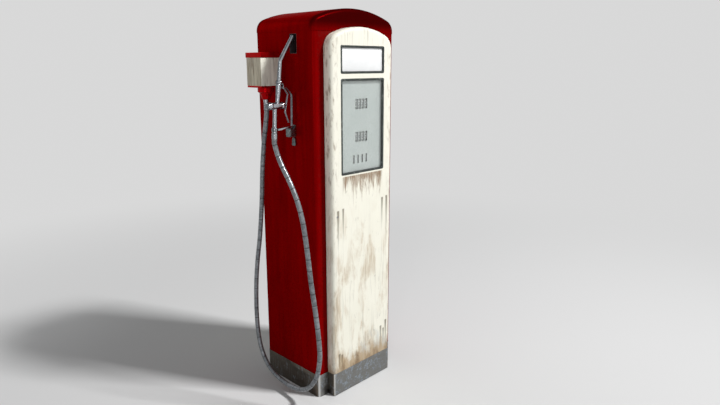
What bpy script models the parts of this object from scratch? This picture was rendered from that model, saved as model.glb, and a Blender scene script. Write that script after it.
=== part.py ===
"""Fuel dispenser of the tall cabinet kind: case, doors, register, pump set, outlet, hose and nozzle.

Metres, +Z up. The origin is on the ground, under the centre of the case. The dial faces -Y and the
hose hangs on the -X side. Every height above the machinery is measured down from the crown.
"""

import math

import bmesh
import bpy
from mathutils import Matrix, Vector

# Running and seating gaps
GAP = 0.0003
RUNNING = 0.0004

# Case
CASE_WIDTH = 0.560
CASE_DEPTH = 0.437
CASE_HEIGHT = 1.990
CROWN_RADIUS = 0.680
SHOULDER_RADIUS = 0.060
CORNER_RADIUS = 0.020
PANEL_SHEET = 0.003
COVER_SHEET = 0.0018
COVER_OVERLAP = 0.008
FRONT_FLANGE = 0.140
SKIRT_HEIGHT = 0.128
SKIRT_SHEET = 0.0015
BASE_THICKNESS = 0.012
ANCHOR_INSET = 0.080
ANCHOR_RADIUS = 0.007
ANCHOR_SIDES = 32

# Doors
DOOR_MARGIN = 0.0638
DOOR_PROUD = 0.0527
DOOR_SEAL = 0.003
DOOR_DROP = 0.088
DOOR_CROWN_RADIUS = 0.450
DOOR_CORNER_RADIUS = 0.075
DOOR_EDGE_RADIUS = 0.020
DOOR_SHEET = 0.003
DOOR_BOTTOM_GAP = 0.0015
KICK_SHEET = 0.002
KICK_CORNER = 0.012
KICK_GROUND = 0.003
HINGE_OUT = 0.007
HINGE_FORWARD = 0.0104
HINGE_PIN_RADIUS = 0.003
HINGE_KNUCKLE = 0.0046
HINGE_KNUCKLE_LENGTH = 0.020
HINGE_LOW = 0.30
HINGE_MIDDLE = 0.95
HINGE_DROP = 0.37
LOCK_HEIGHT = 0.985
LOCK_INSET = 0.034
LOCK_RADIUS = 0.006

# Windows in the front door, placed down from the door's crown
WINDOW_WIDTH = 0.306
WINDOW_CORNER = 0.008
WINDOW_DROP = 0.088
LOGO_HEIGHT = 0.132
WINDOW_SPACING = 0.023
DIAL_HEIGHT = 0.469
BEZEL_WIDTH = 0.010
BEZEL_PROUD = 0.0015
BEZEL_DEPTH = 0.0130
GLASS_THICKNESS = 0.004
GLASS_SUNK = 0.0065

# Register: rows of number wheels behind the dial plate
DIAL_PLATE = 0.0025
DIAL_PLATE_GAP = 0.0012
DIAL_MARGIN = 0.004
WHEEL_RADIUS = 0.040
WHEEL_CLEARANCE = 0.0020
WHEEL_PITCH = 0.0225
WHEEL_WIDTH = 0.0200
WHEELS_PER_ROW = 4
SALE_DROP = 0.124
VOLUME_DROP = 0.287
PRICE_DROP = 0.399
PRICE_PITCH = 0.030
PRICE_WIDTH = 0.013
PRICE_OFFSET = -0.009
APERTURE_WIDTH = 0.0175
APERTURE_HEIGHT = 0.050
PRICE_APERTURE_WIDTH = 0.0100
PRICE_APERTURE_HEIGHT = 0.042
SHAFT_RADIUS = 0.004
REGISTER_HALF = 0.135
REGISTER_SHEET = 0.003
WORM_WHEEL_X = -0.085
WORM_WHEEL_RADIUS = 0.030
WORM_RADIUS = 0.012

# Frame and machinery
CHANNEL_WIDTH = 0.080
CHANNEL_FLANGE = 0.040
CHANNEL_SHEET = 0.004
HEAD_DROP = 0.124
HEAD_SHEET = 0.004
SHELF_BELOW_DIAL = 0.246
SHELF_SHEET = 0.006
METER_RADIUS = 0.070
METER_HEIGHT = 0.165
METER_BACK = 0.030
METER_FOOT = 0.045
METER_STEP = 0.010
PUMP_X = 0.105
PUMP_Y = 0.030
PUMP_WIDTH = 0.150
PUMP_DEPTH = 0.160
PUMP_HEIGHT = 0.240
PUMP_SHAFT_HEIGHT = 0.190
PUMP_DOME_RADIUS = 0.055
PUMP_DOME_HEIGHT = 0.060
MOTOR_X = -0.105
MOTOR_RADIUS = 0.070
MOTOR_LENGTH = 0.180
MOTOR_HEIGHT = 0.115
BELT_PLANE_Y = -0.072
BELT_WIDTH = 0.010
BELT_THICKNESS = 0.007
BELT_STEPS = 12
MOTOR_PULLEY_RADIUS = 0.022
PUMP_PULLEY_RADIUS = 0.060
PULLEY_WIDTH = 0.020
STUB_RADIUS = 0.008
PIPE_RADIUS = 0.0165
PIPE_BEND = 0.035
OUTLET_PIPE_X = -0.200
LAMP_HALF = 0.130
LAMP_TUBE_RADIUS = 0.013

# Outlet box on the side of the case, placed down from the crown
OUTLET_DROP = 0.2995
OUTLET_OUT = 0.120
OUTLET_FRONT_Y = 0.022
OUTLET_BACK_Y = 0.138
OUTLET_HEIGHT = 0.133
OUTLET_WALL = 0.004
OUTLET_CORNER = 0.003
FLANGE_CORNER = 0.004
CAP_HEIGHT = 0.024
CAP_OVERHANG = 0.003
SWIVEL_FLANGE = 0.0085
SWIVEL_OUT = 0.062
SWIVEL_Y = 0.066
SWIVEL_RADIUS = 0.040
SWIVEL_DEPTH = 0.0585
FERRULE_RADIUS = 0.0127
FERRULE_LENGTH = 0.051

# Nozzle, hung on the side of the case down from the shoulder; its datum is the valve chamber's axis
NOZZLE_DROP = 0.3536
NOZZLE_Y = -0.072
CHAMBER_RADIUS = 0.018
CHAMBER_NEAR = 0.066
CHAMBER_FAR = 0.161
SPOUT_RADIUS = 0.0105
SPOUT_BORE = 0.0085
SPOUT_TIP = (-0.004, 0.322)
SPOUT_BEND = (0.074, 0.209)
NUT_TOP = (0.0855, 0.116)
NUT_RADIUS = 0.0158
NUT_LENGTH = 0.014
NUT_SIDES = 12
BODY_LENGTH = 0.100
HANDLE_TOP = (0.114, 0.0)
HANDLE_END = (0.120, -0.103)
HANDLE_RADIUS = 0.011
COLLAR_RADIUS = 0.0155
SWIVEL_LENGTH = 0.054
STEM_RADIUS = 0.004
STEM_BORE_END = 0.118
STEM_END = 0.103
STRAP_WIDTH = 0.014
STRAP_THICKNESS = 0.004
ARM_THICKNESS = 0.008
GUARD_BEND = 0.010
GUARD_START = 0.104
NUT_GAP = 0.0002
GUARD_KNEE = (0.014, 0.053)
GUARD_SHOULDER = (0.012, 0.036)
GUARD_CORNER = (0.0155, -0.104)
LEVER_WIDTH = 0.010
LEVER_PIVOT = (0.062, 0.085)
LEVER_PIN_RADIUS = 0.0025
LEVER_EYE_RADIUS = 0.006
LEVER_ROUTE = ((0.036, 0.054), (0.048, 0.0), (0.0545, -0.032), (0.034, -0.084))
CHEEK_THICKNESS = 0.0025
CHEEK_START = 0.003
CHEEK_END = 0.026
HOOK_WIDTH = 0.030
HOOK_REACH = 0.042
HOOK_DEPTH = 0.049
HOOK_SHEET = 0.0038
HOOK_LEDGE = 0.0265
HOOK_NOTCH = 0.007
HOOK_SLOPE = 1.25
POCKET_WIDTH = 0.052
POCKET_OFFSET = -0.006
POCKET_DROP = 0.0206
POCKET_HEIGHT = 0.091
POCKET_DEPTH = 0.042
POCKET_SHEET = 0.002
SWITCH_BELOW = 0.169
SWITCH_LENGTH = 0.030
SWITCH_HALF_WIDTH = 0.014
SWITCH_EYE = 0.011
SWITCH_SHEET = 0.004

# Hose: its outer diameter and the points that its centre line passes through
HOSE_DIAMETER = 0.024
HOSE_ROUTE = (
    (-0.342, 0.075, 1.440),
    (-0.343, 0.091, 1.370),
    (-0.345, 0.114, 1.218),
    (-0.348, 0.131, 1.015),
    (-0.351, 0.155, 0.833),
    (-0.354, 0.184, 0.681),
    (-0.357, 0.202, 0.515),
    (-0.360, 0.201, 0.325),
    (-0.362, 0.172, 0.183),
    (-0.364, 0.094, 0.090),
    (-0.366, -0.023, 0.056),
    (-0.367, -0.143, 0.060),
    (-0.369, -0.240, 0.107),
    (-0.371, -0.308, 0.200),
    (-0.373, -0.335, 0.304),
    (-0.375, -0.335, 0.396),
    (-0.378, -0.317, 0.544),
    (-0.381, -0.292, 0.694),
    (-0.385, -0.269, 0.877),
    (-0.388, -0.245, 1.007),
    (-0.391, -0.211, 1.102),
    (-0.395, -0.162, 1.188),
    (-0.399, -0.110, 1.262),
    (-0.4015, -0.081, 1.320),
)
HOSE_STEP = 0.060
HOSE_STUB = 0.020
FINE_STEPS = 20

# Round pieces: sides of large and small ones
SIDES = 24
FINE_SIDES = 16
ARC_STEPS = 4

# Places that follow from the sizes
FRONT = -CASE_DEPTH / 2
SIDE = -CASE_WIDTH / 2
DOOR_FACE = FRONT - DOOR_PROUD
DOOR_HALF = CASE_WIDTH / 2 - DOOR_MARGIN
DOOR_BOTTOM = SKIRT_HEIGHT + DOOR_BOTTOM_GAP
DOOR_CROWN = CASE_HEIGHT - DOOR_DROP
BASE_TOP = BASE_THICKNESS + GAP
HINGE_HEIGHTS = (HINGE_LOW, HINGE_MIDDLE, CASE_HEIGHT - HINGE_DROP)
SHOULDER_Z = CASE_HEIGHT - CROWN_RADIUS + math.sqrt(
    (CROWN_RADIUS - COVER_SHEET - SHOULDER_RADIUS) ** 2 - (CASE_WIDTH / 2 + GAP - SHOULDER_RADIUS) ** 2)
LOGO_TOP = DOOR_CROWN - WINDOW_DROP
DIAL_TOP = LOGO_TOP - LOGO_HEIGHT - WINDOW_SPACING
DIAL_BOTTOM = DIAL_TOP - DIAL_HEIGHT
DIAL_FACE = DOOR_FACE - BEZEL_PROUD + BEZEL_DEPTH + DIAL_PLATE_GAP
WHEEL_Y = DIAL_FACE + DIAL_PLATE + WHEEL_CLEARANCE + WHEEL_RADIUS
WORM_Y = WHEEL_Y + WORM_WHEEL_RADIUS + WORM_RADIUS + GAP
SALE_Z = DIAL_TOP - SALE_DROP
VOLUME_Z = DIAL_TOP - VOLUME_DROP
PRICE_Z = DIAL_TOP - PRICE_DROP
HEAD_TOP = CASE_HEIGHT - HEAD_DROP
SHELF_TOP = DIAL_BOTTOM - SHELF_BELOW_DIAL
METER_Y = WORM_Y + METER_BACK
METER_BOTTOM = SHELF_TOP + GAP
METER_TOP = METER_BOTTOM + METER_HEIGHT
CHANNEL_OUTER = CASE_WIDTH / 2 - PANEL_SHEET - GAP
CHANNEL_INNER = CHANNEL_OUTER - CHANNEL_FLANGE
OUTLET_Z = CASE_HEIGHT - OUTLET_DROP
OUTLET_BOTTOM = OUTLET_Z - OUTLET_HEIGHT / 2
OUTLET_TOP = OUTLET_Z + OUTLET_HEIGHT / 2
SWIVEL_X = SIDE - SWIVEL_OUT
SWIVEL_TOP = OUTLET_BOTTOM - GAP
SWIVEL_END = SWIVEL_TOP - SWIVEL_FLANGE - SWIVEL_DEPTH
FERRULE_TOP = SWIVEL_END - GAP
FERRULE_END = FERRULE_TOP - FERRULE_LENGTH
NOZZLE_Z = SHOULDER_Z - NOZZLE_DROP
POCKET_Y = NOZZLE_Y + POCKET_OFFSET
POCKET_TOP = SHOULDER_Z - POCKET_DROP
POCKET_Z = POCKET_TOP - POCKET_HEIGHT / 2


# ---------------------------------------------------------------- materials


def material(name, colour, roughness, metallic=0.0):
    """A plain Principled material, made once for each name."""
    found = bpy.data.materials.get(name)
    if found:
        return found
    made = bpy.data.materials.new(name)
    made.use_nodes = True
    shader = made.node_tree.nodes["Principled BSDF"]
    shader.inputs["Base Color"].default_value = (*colour, 1.0)
    shader.inputs["Roughness"].default_value = roughness
    shader.inputs["Metallic"].default_value = metallic
    return made


def red_enamel():
    return material("red_enamel", (0.30, 0.004, 0.006), 0.35)


def cream_enamel():
    return material("cream_enamel", (0.86, 0.84, 0.75), 0.4)


def skirt_metal():
    return material("skirt_metal", (0.42, 0.42, 0.40), 0.4, 0.9)


def nozzle_metal():
    return material("nozzle_metal", (0.46, 0.48, 0.50), 0.32, 0.95)


def frame_steel():
    return material("frame_steel", (0.12, 0.13, 0.13), 0.55, 0.6)


def cast_iron():
    return material("cast_iron", (0.10, 0.16, 0.13), 0.6, 0.3)


def shaft_steel():
    return material("shaft_steel", (0.50, 0.50, 0.50), 0.35, 1.0)


def bezel_metal():
    return material("bezel_metal", (0.13, 0.14, 0.13), 0.45, 0.7)


def milk_glass():
    return material("milk_glass", (0.93, 0.94, 0.92), 0.15)


def clear_glass():
    return material("clear_glass", (0.80, 0.84, 0.82), 0.1)


def dial_paint():
    return material("dial_paint", (0.62, 0.66, 0.63), 0.5)


def wheel_plastic():
    return material("wheel_plastic", (0.80, 0.80, 0.76), 0.5)


def black_rubber():
    return material("black_rubber", (0.03, 0.03, 0.03), 0.8)


def hose_cover():
    return material("hose_cover", (0.30, 0.31, 0.32), 0.5)


# ---------------------------------------------------------------- outlines


def arc(centre, radius, start, end, steps):
    """Points on an arc, in degrees, both ends included."""
    turns = [math.radians(start + (end - start) * i / steps) for i in range(steps + 1)]
    return [(centre[0] + radius * math.cos(t), centre[1] + radius * math.sin(t)) for t in turns]


def rounded_rect(low, high, radius, steps=ARC_STEPS):
    """A rectangle between two corners, its own corners rounded, counter-clockwise."""
    corners = (
        (high[0] - radius, low[1] + radius, -90),
        (high[0] - radius, high[1] - radius, 0),
        (low[0] + radius, high[1] - radius, 90),
        (low[0] + radius, low[1] + radius, 180),
    )
    points = []
    for u, v, start in corners:
        points += arc((u, v), radius, start, start + 90, steps)
    return points


def shoulder_height(half, crown, crown_radius, corner_radius):
    """Height at which a straight side turns into the corner arc that meets the crown arc."""
    across = half - corner_radius
    return crown - crown_radius + math.sqrt((crown_radius - corner_radius) ** 2 - across**2)


def crowned_outline(half, bottom, crown, crown_radius, corner_radius):
    """Straight sides, rounded upper corners and a shallow arched top."""
    across = half - corner_radius
    shoulder = shoulder_height(half, crown, crown_radius, corner_radius)
    centre = crown - crown_radius
    meet = math.degrees(math.atan2(shoulder - centre, across))
    points = [(-half, bottom), (half, bottom)]
    points += arc((across, shoulder), corner_radius, 0, meet, ARC_STEPS)
    points += arc((0, centre), crown_radius, meet, 180 - meet, 3 * ARC_STEPS)[1:-1]
    points += arc((-across, shoulder), corner_radius, 180 - meet, 180, ARC_STEPS)
    return points


def rounded_path(corners, radius, steps=ARC_STEPS):
    """A path through the corners with each inner one rounded by an arc."""
    corners = [Vector(corner) for corner in corners]
    path = [corners[0]]
    for before, here, after in zip(corners, corners[1:], corners[2:]):
        back = (before - here).normalized()
        ahead = (after - here).normalized()
        half_angle = back.angle(ahead) / 2
        reach = radius / math.tan(half_angle)
        middle = here + (back + ahead).normalized() * (radius / math.sin(half_angle))
        first = here + back * reach - middle
        last = here + ahead * reach - middle
        sweep = first.angle(last)
        for i in range(steps + 1):
            share = i / steps
            weight = math.sin((1 - share) * sweep), math.sin(share * sweep)
            path.append(middle + (first * weight[0] + last * weight[1]) / math.sin(sweep))
    path.append(corners[-1])
    return path


def strip_outline(path, thickness):
    """The outline of a strip of even thickness that follows a flat path."""
    path = [Vector(point) for point in path]
    sides = ([], [])
    for i, here in enumerate(path):
        into = (here - path[i - 1]).normalized() if i else (path[1] - here).normalized()
        out = (path[i + 1] - here).normalized() if i + 1 < len(path) else into
        normal = Vector((-into.y - out.y, into.x + out.x)).normalized()
        reach = thickness / 2 / max(0.5, normal.dot(Vector((-into.y, into.x))))
        sides[0].append(here + normal * reach)
        sides[1].append(here - normal * reach)
    return [tuple(point) for point in sides[0] + sides[1][::-1]]


def along(start, end, distance):
    """The point that far from start, towards end."""
    start, end = Vector(start), Vector(end)
    return start + (end - start).normalized() * distance


# ---------------------------------------------------------------- solids


PLANES = {
    "X": lambda u, v, w: (w, u, v),
    "Y": lambda u, v, w: (u, w, v),
    "Z": lambda u, v, w: (u, v, w),
}


def add_object(name, data, finish=None):
    """Links an object that shows this mesh or curve, with its material."""
    if finish:
        data.materials.append(finish)
    made = bpy.data.objects.new(name, data)
    bpy.context.scene.collection.objects.link(made)
    return made


def solid(name, bm, finish, smooth=False):
    """Turns a closed bmesh into an object with its faces pointing out."""
    bmesh.ops.recalc_face_normals(bm, faces=bm.faces)
    if bm.calc_volume(signed=True) < 0:
        bmesh.ops.reverse_faces(bm, faces=bm.faces)
    mesh = bpy.data.meshes.new(name)
    bm.to_mesh(mesh)
    bm.free()
    if smooth:
        mesh.shade_smooth()
        mesh.set_sharp_from_angle(angle=math.radians(35))
    return add_object(name, mesh, finish)


def prism_mesh(outline, axis, low, high):
    """A bmesh of an outline pushed straight along an axis."""
    bm = bmesh.new()
    place = PLANES[axis]
    face = bm.faces.new([bm.verts.new(place(u, v, low)) for u, v in outline])
    grown = bmesh.ops.extrude_face_region(bm, geom=[face])["geom"]
    moved = [item for item in grown if isinstance(item, bmesh.types.BMVert)]
    bmesh.ops.translate(bm, verts=moved, vec=place(0, 0, high - low))
    return bm


def prism(name, outline, axis, low, high, finish=None, smooth=False):
    return solid(name, prism_mesh(outline, axis, low, high), finish, smooth)


def block(name, low, high, finish=None):
    """A box between two corners."""
    outline = [(low[0], low[1]), (high[0], low[1]), (high[0], high[1]), (low[0], high[1])]
    return prism(name, outline, "Z", low[2], high[2], finish)


def band(name, outer, inner, axis, low, high, finish=None, smooth=False):
    """A closed ring between two outlines with as many points each."""
    bm = bmesh.new()
    place = PLANES[axis]
    rims = []
    for outline in (outer, inner):
        verts = [bm.verts.new(place(u, v, low)) for u, v in outline]
        rims += [bm.edges.new((a, b)) for a, b in zip(verts, verts[1:] + verts[:1])]
    faces = bmesh.ops.bridge_loops(bm, edges=rims)["faces"]
    grown = bmesh.ops.extrude_face_region(bm, geom=faces)["geom"]
    moved = [item for item in grown if isinstance(item, bmesh.types.BMVert)]
    bmesh.ops.translate(bm, verts=moved, vec=place(0, 0, high - low))
    return solid(name, bm, finish, smooth)


def lathe(name, profile, origin, direction, finish=None, sides=SIDES, bored=False):
    """Turns a profile of (radius, distance along the axis) round a direction through the origin."""
    bm = bmesh.new()
    verts = [bm.verts.new((radius, 0, height)) for radius, height in profile]
    edges = [bm.edges.new(pair) for pair in zip(verts, verts[1:])]
    if bored:
        edges.append(bm.edges.new((verts[-1], verts[0])))
    bmesh.ops.spin(bm, geom=verts + edges, axis=(0, 0, 1), cent=(0, 0, 0),
                   angle=math.tau, steps=sides, use_merge=True)
    bmesh.ops.remove_doubles(bm, verts=bm.verts, dist=1e-6)
    turn = Vector((0, 0, 1)).rotation_difference(Vector(direction)).to_matrix().to_4x4()
    bm.transform(Matrix.Translation(origin) @ turn)
    return solid(name, bm, finish, smooth=True)


def rod(name, start, end, radius, finish=None, sides=FINE_SIDES):
    """A plain round bar between two points."""
    start, end = Vector(start), Vector(end)
    length = (end - start).length
    profile = [(0, 0), (radius, 0), (radius, length), (0, length)]
    return lathe(name, profile, start, end - start, finish, sides)


def sleeve(name, start, end, outer, inner, finish=None, sides=SIDES):
    """A round tube between two points."""
    start, end = Vector(start), Vector(end)
    length = (end - start).length
    profile = [(inner, 0), (outer, 0), (outer, length), (inner, length)]
    return lathe(name, profile, start, end - start, finish, sides, bored=True)


def bore_cut(name, start, end, radius, sides=FINE_SIDES):
    """A cutter whose flats clear a round bar of this radius."""
    return rod(name, start, end, (radius + RUNNING) / math.cos(math.pi / sides), sides=sides)


def pipe(name, path, radius, finish=None, resolution=3):
    """A round bar that follows a path, as a curve with filled ends."""
    curve = bpy.data.curves.new(name, "CURVE")
    curve.dimensions = "3D"
    curve.bevel_depth = radius
    curve.bevel_resolution = resolution
    curve.use_fill_caps = True
    spline = curve.splines.new("POLY")
    spline.points.add(len(path) - 1)
    for point, place in zip(spline.points, path):
        point.co = (*place, 1.0)
    return add_object(name, curve, finish)


def as_mesh(made):
    """Replaces a curve object by one with the same mesh, which a Boolean can take."""
    mesh = bpy.data.meshes.new_from_object(made)
    name = made.name
    bpy.data.objects.remove(made)
    return add_object(name, mesh)


def combine(target, tool, operation):
    """Adds a Boolean to the target; the tool is a helper that is never shown."""
    tool.hide_render = True
    tool.display_type = "WIRE"
    modifier = target.modifiers.new(tool.name, "BOOLEAN")
    modifier.operation = operation
    modifier.object = tool
    modifier.solver = "EXACT"


def cut(target, *tools):
    for tool in tools:
        combine(target, tool, "DIFFERENCE")


def weld(target, *tools):
    for tool in tools:
        combine(target, tool, "UNION")


def turn_round(*pieces):
    """Turns pieces half a turn about the case's vertical centre line."""
    for piece in pieces:
        piece.data.transform(Matrix.Rotation(math.pi, 4, "Z"))


def hang(name, place, *pieces):
    """Parents pieces to an empty at their joint's axis, without moving them."""
    pivot = bpy.data.objects.new(name, None)
    pivot.location = place
    bpy.context.scene.collection.objects.link(pivot)
    for piece in pieces:
        piece.parent = pivot
        piece.location = -Vector(place)
    return pivot


# ---------------------------------------------------------------- case and frame


def base_plate():
    inset = GAP
    low = (SIDE + inset, FRONT + inset)
    high = (-SIDE - inset, -FRONT - inset)
    plate = prism("base_plate", rounded_rect(low, high, CORNER_RADIUS), "Z", 0, BASE_THICKNESS, frame_steel())
    for number, (sign_x, sign_y) in enumerate(((1, 1), (1, -1), (-1, 1), (-1, -1))):
        x = sign_x * (CASE_WIDTH / 2 - ANCHOR_INSET)
        y = sign_y * (CASE_DEPTH / 2 - ANCHOR_INSET)
        top = BASE_THICKNESS + 0.01
        cut(plate, rod(f"anchor_cut_{number}", (x, y, -0.01), (x, y, top), ANCHOR_RADIUS, sides=ANCHOR_SIDES))
    bottom, _ = inlet_line()
    below, above = bottom - Vector((0, 0, 0.01)), bottom + Vector((0, 0, 0.03))
    cut(plate, bore_cut("inlet_cut", below, above, PIPE_RADIUS))
    return plate


def frame_channel(name, sign):
    outer = sign * (CHANNEL_OUTER - CHANNEL_SHEET / 2)
    inner = sign * CHANNEL_INNER
    edge = (CHANNEL_WIDTH - CHANNEL_SHEET) / 2
    route = [(inner, -edge), (outer, -edge), (outer, edge), (inner, edge)]
    outline = strip_outline(route, CHANNEL_SHEET)
    return prism(name, outline, "Z", BASE_TOP, HEAD_TOP - HEAD_SHEET - GAP, frame_steel())


def meter_shelf():
    half = CHANNEL_INNER - GAP
    low = (-half, METER_Y - METER_RADIUS, SHELF_TOP - SHELF_SHEET)
    high = (half, CHANNEL_WIDTH / 2, SHELF_TOP)
    shelf = block("meter_shelf", low, high, frame_steel())
    top = Vector((WORM_WHEEL_X, METER_Y, SHELF_TOP + 0.01))
    cut(shelf, bore_cut("riser_cut", top - Vector((0, 0, 0.03)), top, PIPE_RADIUS))
    return shelf


def head_plate():
    """Ties the channels' tops; it is notched round the spout pocket."""
    half = CHANNEL_OUTER
    reach = CASE_DEPTH / 2 - PANEL_SHEET - GAP
    outline = rounded_rect((-half, -reach), (half, reach), CORNER_RADIUS - PANEL_SHEET - GAP)
    plate = prism("head_plate", outline, "Z", HEAD_TOP - HEAD_SHEET, HEAD_TOP, frame_steel())
    side = POCKET_WIDTH / 2 + GAP
    cut(plate, block("pocket_notch_cut", (-half - 0.01, POCKET_Y - side, HEAD_TOP - HEAD_SHEET - 0.01),
                     (SIDE + POCKET_DEPTH + 2 * GAP, POCKET_Y + side, HEAD_TOP + 0.01)))
    return plate


def side_panel(name, sign):
    """A sheet that wraps from the front opening, round the side, to the rear opening."""
    middle = PANEL_SHEET / 2
    side = sign * (CASE_WIDTH / 2 - middle)
    edge = sign * (CASE_WIDTH / 2 - FRONT_FLANGE)
    face = CASE_DEPTH / 2 - middle
    route = rounded_path([(edge, -face), (side, -face), (side, face), (edge, face)], CORNER_RADIUS - middle)
    outline = strip_outline(route, PANEL_SHEET)
    top = SHOULDER_Z - GAP
    return prism(name, outline, "Z", BASE_TOP, top, red_enamel(), smooth=True)


def left_panel():
    """The hose side: it has the outlet pipe's hole, the spout pocket's mouth and the switch's hole."""
    panel = side_panel("left_side_panel", -1)
    inside, outside = SIDE + 0.02, SIDE - 0.02
    pipe_hole = bore_cut("outlet_cut", (inside, SWIVEL_Y, OUTLET_Z), (outside, SWIVEL_Y, OUTLET_Z),
                         PIPE_RADIUS)
    half = POCKET_WIDTH / 2
    mouth = block("pocket_mouth_cut", (outside, POCKET_Y - half, POCKET_TOP - POCKET_HEIGHT),
                  (inside, POCKET_Y + half, POCKET_TOP))
    switch_z = NOZZLE_Z - SWITCH_BELOW
    switch_hole = bore_cut("switch_cut", (inside, NOZZLE_Y, switch_z), (outside, NOZZLE_Y, switch_z),
                           SHAFT_RADIUS)
    cut(panel, pipe_hole, mouth, switch_hole)
    return panel


def cover_half():
    return CASE_WIDTH / 2 + GAP + COVER_SHEET


def cover_block(name, inset, bottom, finish=None):
    """The cover's outer form, or the hollow inside it when inset by the sheet."""
    half = cover_half() - inset
    reach = CASE_DEPTH / 2 + GAP + COVER_SHEET - inset
    outline = crowned_outline(half, bottom, CASE_HEIGHT - inset, CROWN_RADIUS - inset,
                              SHOULDER_RADIUS + COVER_SHEET - inset)
    bm = prism_mesh(outline, "Y", -reach, reach)
    soften_rims(bm, (-reach, reach), bottom, CORNER_RADIUS + GAP + COVER_SHEET - inset)
    return solid(name, bm, finish, smooth=True)


def soften_rims(bm, faces_at, bottom, radius):
    """Rounds the edges round the flat ends at these y values, except along the bottom."""
    rims = []
    for edge in bm.edges:
        ends = [vert.co for vert in edge.verts]
        on_face = any(all(abs(end.y - y) < 1e-6 for end in ends) for y in faces_at)
        if on_face and not all(end.z < bottom + 1e-6 for end in ends):
            rims.append(edge)
    bmesh.ops.bevel(bm, geom=rims, offset=radius, segments=ARC_STEPS, profile=0.5, affect="EDGES")


def top_cover():
    bottom = SHOULDER_Z - COVER_OVERLAP
    cover = cover_block("top_cover", 0, bottom, red_enamel())
    cut(cover, cover_block("cover_hollow_cut", COVER_SHEET, bottom - 0.05))
    return cover


def skirt():
    inner, outer = GAP, GAP + SKIRT_SHEET
    loops = []
    for grow in (outer, inner):
        low = (SIDE - grow, FRONT - grow)
        high = (-SIDE + grow, -FRONT + grow)
        loops.append(rounded_rect(low, high, CORNER_RADIUS + grow))
    return band("case_skirt", *loops, "Z", 0, SKIRT_HEIGHT, skirt_metal(), smooth=True)


def kick_plate(name):
    """The metal toe piece under a door."""
    back = FRONT - 2 * GAP - SKIRT_SHEET
    face = DOOR_FACE + KICK_SHEET / 2
    half = DOOR_HALF - KICK_SHEET / 2
    route = rounded_path([(-half, back), (-half, face), (half, face), (half, back)], KICK_CORNER)
    outline = strip_outline(route, KICK_SHEET)
    return prism(name, outline, "Z", KICK_GROUND, DOOR_BOTTOM - 2 * GAP, skirt_metal(), smooth=True)


# ---------------------------------------------------------------- doors


def door_block(name, inset, back, face, finish=None):
    """A door's outer form, or the hollow inside it when inset by the sheet."""
    bottom = DOOR_BOTTOM + inset
    outline = crowned_outline(DOOR_HALF - inset, bottom, DOOR_CROWN - inset,
                              DOOR_CROWN_RADIUS - inset, DOOR_CORNER_RADIUS - inset)
    bm = prism_mesh(outline, "Y", back, face)
    soften_rims(bm, (face,), bottom, DOOR_EDGE_RADIUS - inset)
    return solid(name, bm, finish, smooth=True)


def hinge_axis():
    return DOOR_HALF + HINGE_OUT, FRONT - HINGE_FORWARD


def door(name):
    """A pressed pan with knuckles down its hinge edge and a hole for its lock."""
    back = FRONT - DOOR_SEAL
    shell = door_block(name, 0, back, DOOR_FACE, cream_enamel())
    cut(shell, door_block(name + "_hollow_cut", DOOR_SHEET, back + 0.01, DOOR_FACE + DOOR_SHEET))
    axis_x, axis_y = hinge_axis()
    for number, height in enumerate(HINGE_HEIGHTS):
        low = height + HINGE_KNUCKLE_LENGTH + GAP
        inner = DOOR_HALF - DOOR_SHEET / 2
        knuckle = block(f"{name}_knuckle_{number}", (inner, axis_y - HINGE_KNUCKLE, low),
                        (axis_x + HINGE_KNUCKLE, axis_y + HINGE_KNUCKLE, low + HINGE_KNUCKLE_LENGTH))
        weld(shell, knuckle)
    bottom, top = hinge_span()
    bore = bore_cut(name + "_pin_cut", (axis_x, axis_y, bottom - 0.01), (axis_x, axis_y, top + 0.01),
                    HINGE_PIN_RADIUS)
    lock_hole = bore_cut(name + "_lock_cut", (lock_x(), DOOR_FACE - 0.01, LOCK_HEIGHT),
                         (lock_x(), DOOR_FACE + 0.01, LOCK_HEIGHT), LOCK_RADIUS)
    cut(shell, bore, lock_hole)
    return shell


def hinge_span():
    return HINGE_HEIGHTS[0], HINGE_HEIGHTS[-1] + 2 * HINGE_KNUCKLE_LENGTH + GAP


def door_hinge(name):
    """A long pin held by brackets on the case; a door's knuckle rests on each bracket."""
    axis_x, axis_y = hinge_axis()
    bottom, top = hinge_span()
    pin = rod(name, (axis_x, axis_y, bottom), (axis_x, axis_y, top), HINGE_PIN_RADIUS, shaft_steel())
    for number, height in enumerate(HINGE_HEIGHTS):
        low = (axis_x - HINGE_KNUCKLE, axis_y - HINGE_KNUCKLE, height)
        high = (axis_x + HINGE_KNUCKLE, FRONT - GAP, height + HINGE_KNUCKLE_LENGTH)
        weld(pin, block(f"{name}_bracket_{number}", low, high))
    return pin


def lock_x():
    return -DOOR_HALF + LOCK_INSET


def door_lock(name):
    """A round key lock whose cam turns behind the door's face."""
    face = DOOR_FACE - 0.0012
    profile = [(0, 0), (LOCK_RADIUS - 0.001, 0), (LOCK_RADIUS, 0.0006), (LOCK_RADIUS, 0.020), (0, 0.020)]
    barrel = lathe(name, profile, (lock_x(), face, LOCK_HEIGHT), (0, 1, 0), shaft_steel(), FINE_SIDES)
    cam = block(name + "_cam", (lock_x() - 0.004, face + 0.015, LOCK_HEIGHT - 0.004),
                (lock_x() + 0.004, face + 0.018, LOCK_HEIGHT + 0.018))
    keyway = block(name + "_keyway_cut", (lock_x() - 0.0006, face - 0.001, LOCK_HEIGHT - 0.0025),
                   (lock_x() + 0.0006, face + 0.004, LOCK_HEIGHT + 0.0025))
    weld(barrel, cam)
    cut(barrel, keyway)
    return barrel


def window_outline(top, height, inset):
    half = WINDOW_WIDTH / 2 - inset
    return rounded_rect((-half, top - height + inset), (half, top - inset), WINDOW_CORNER)


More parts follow.
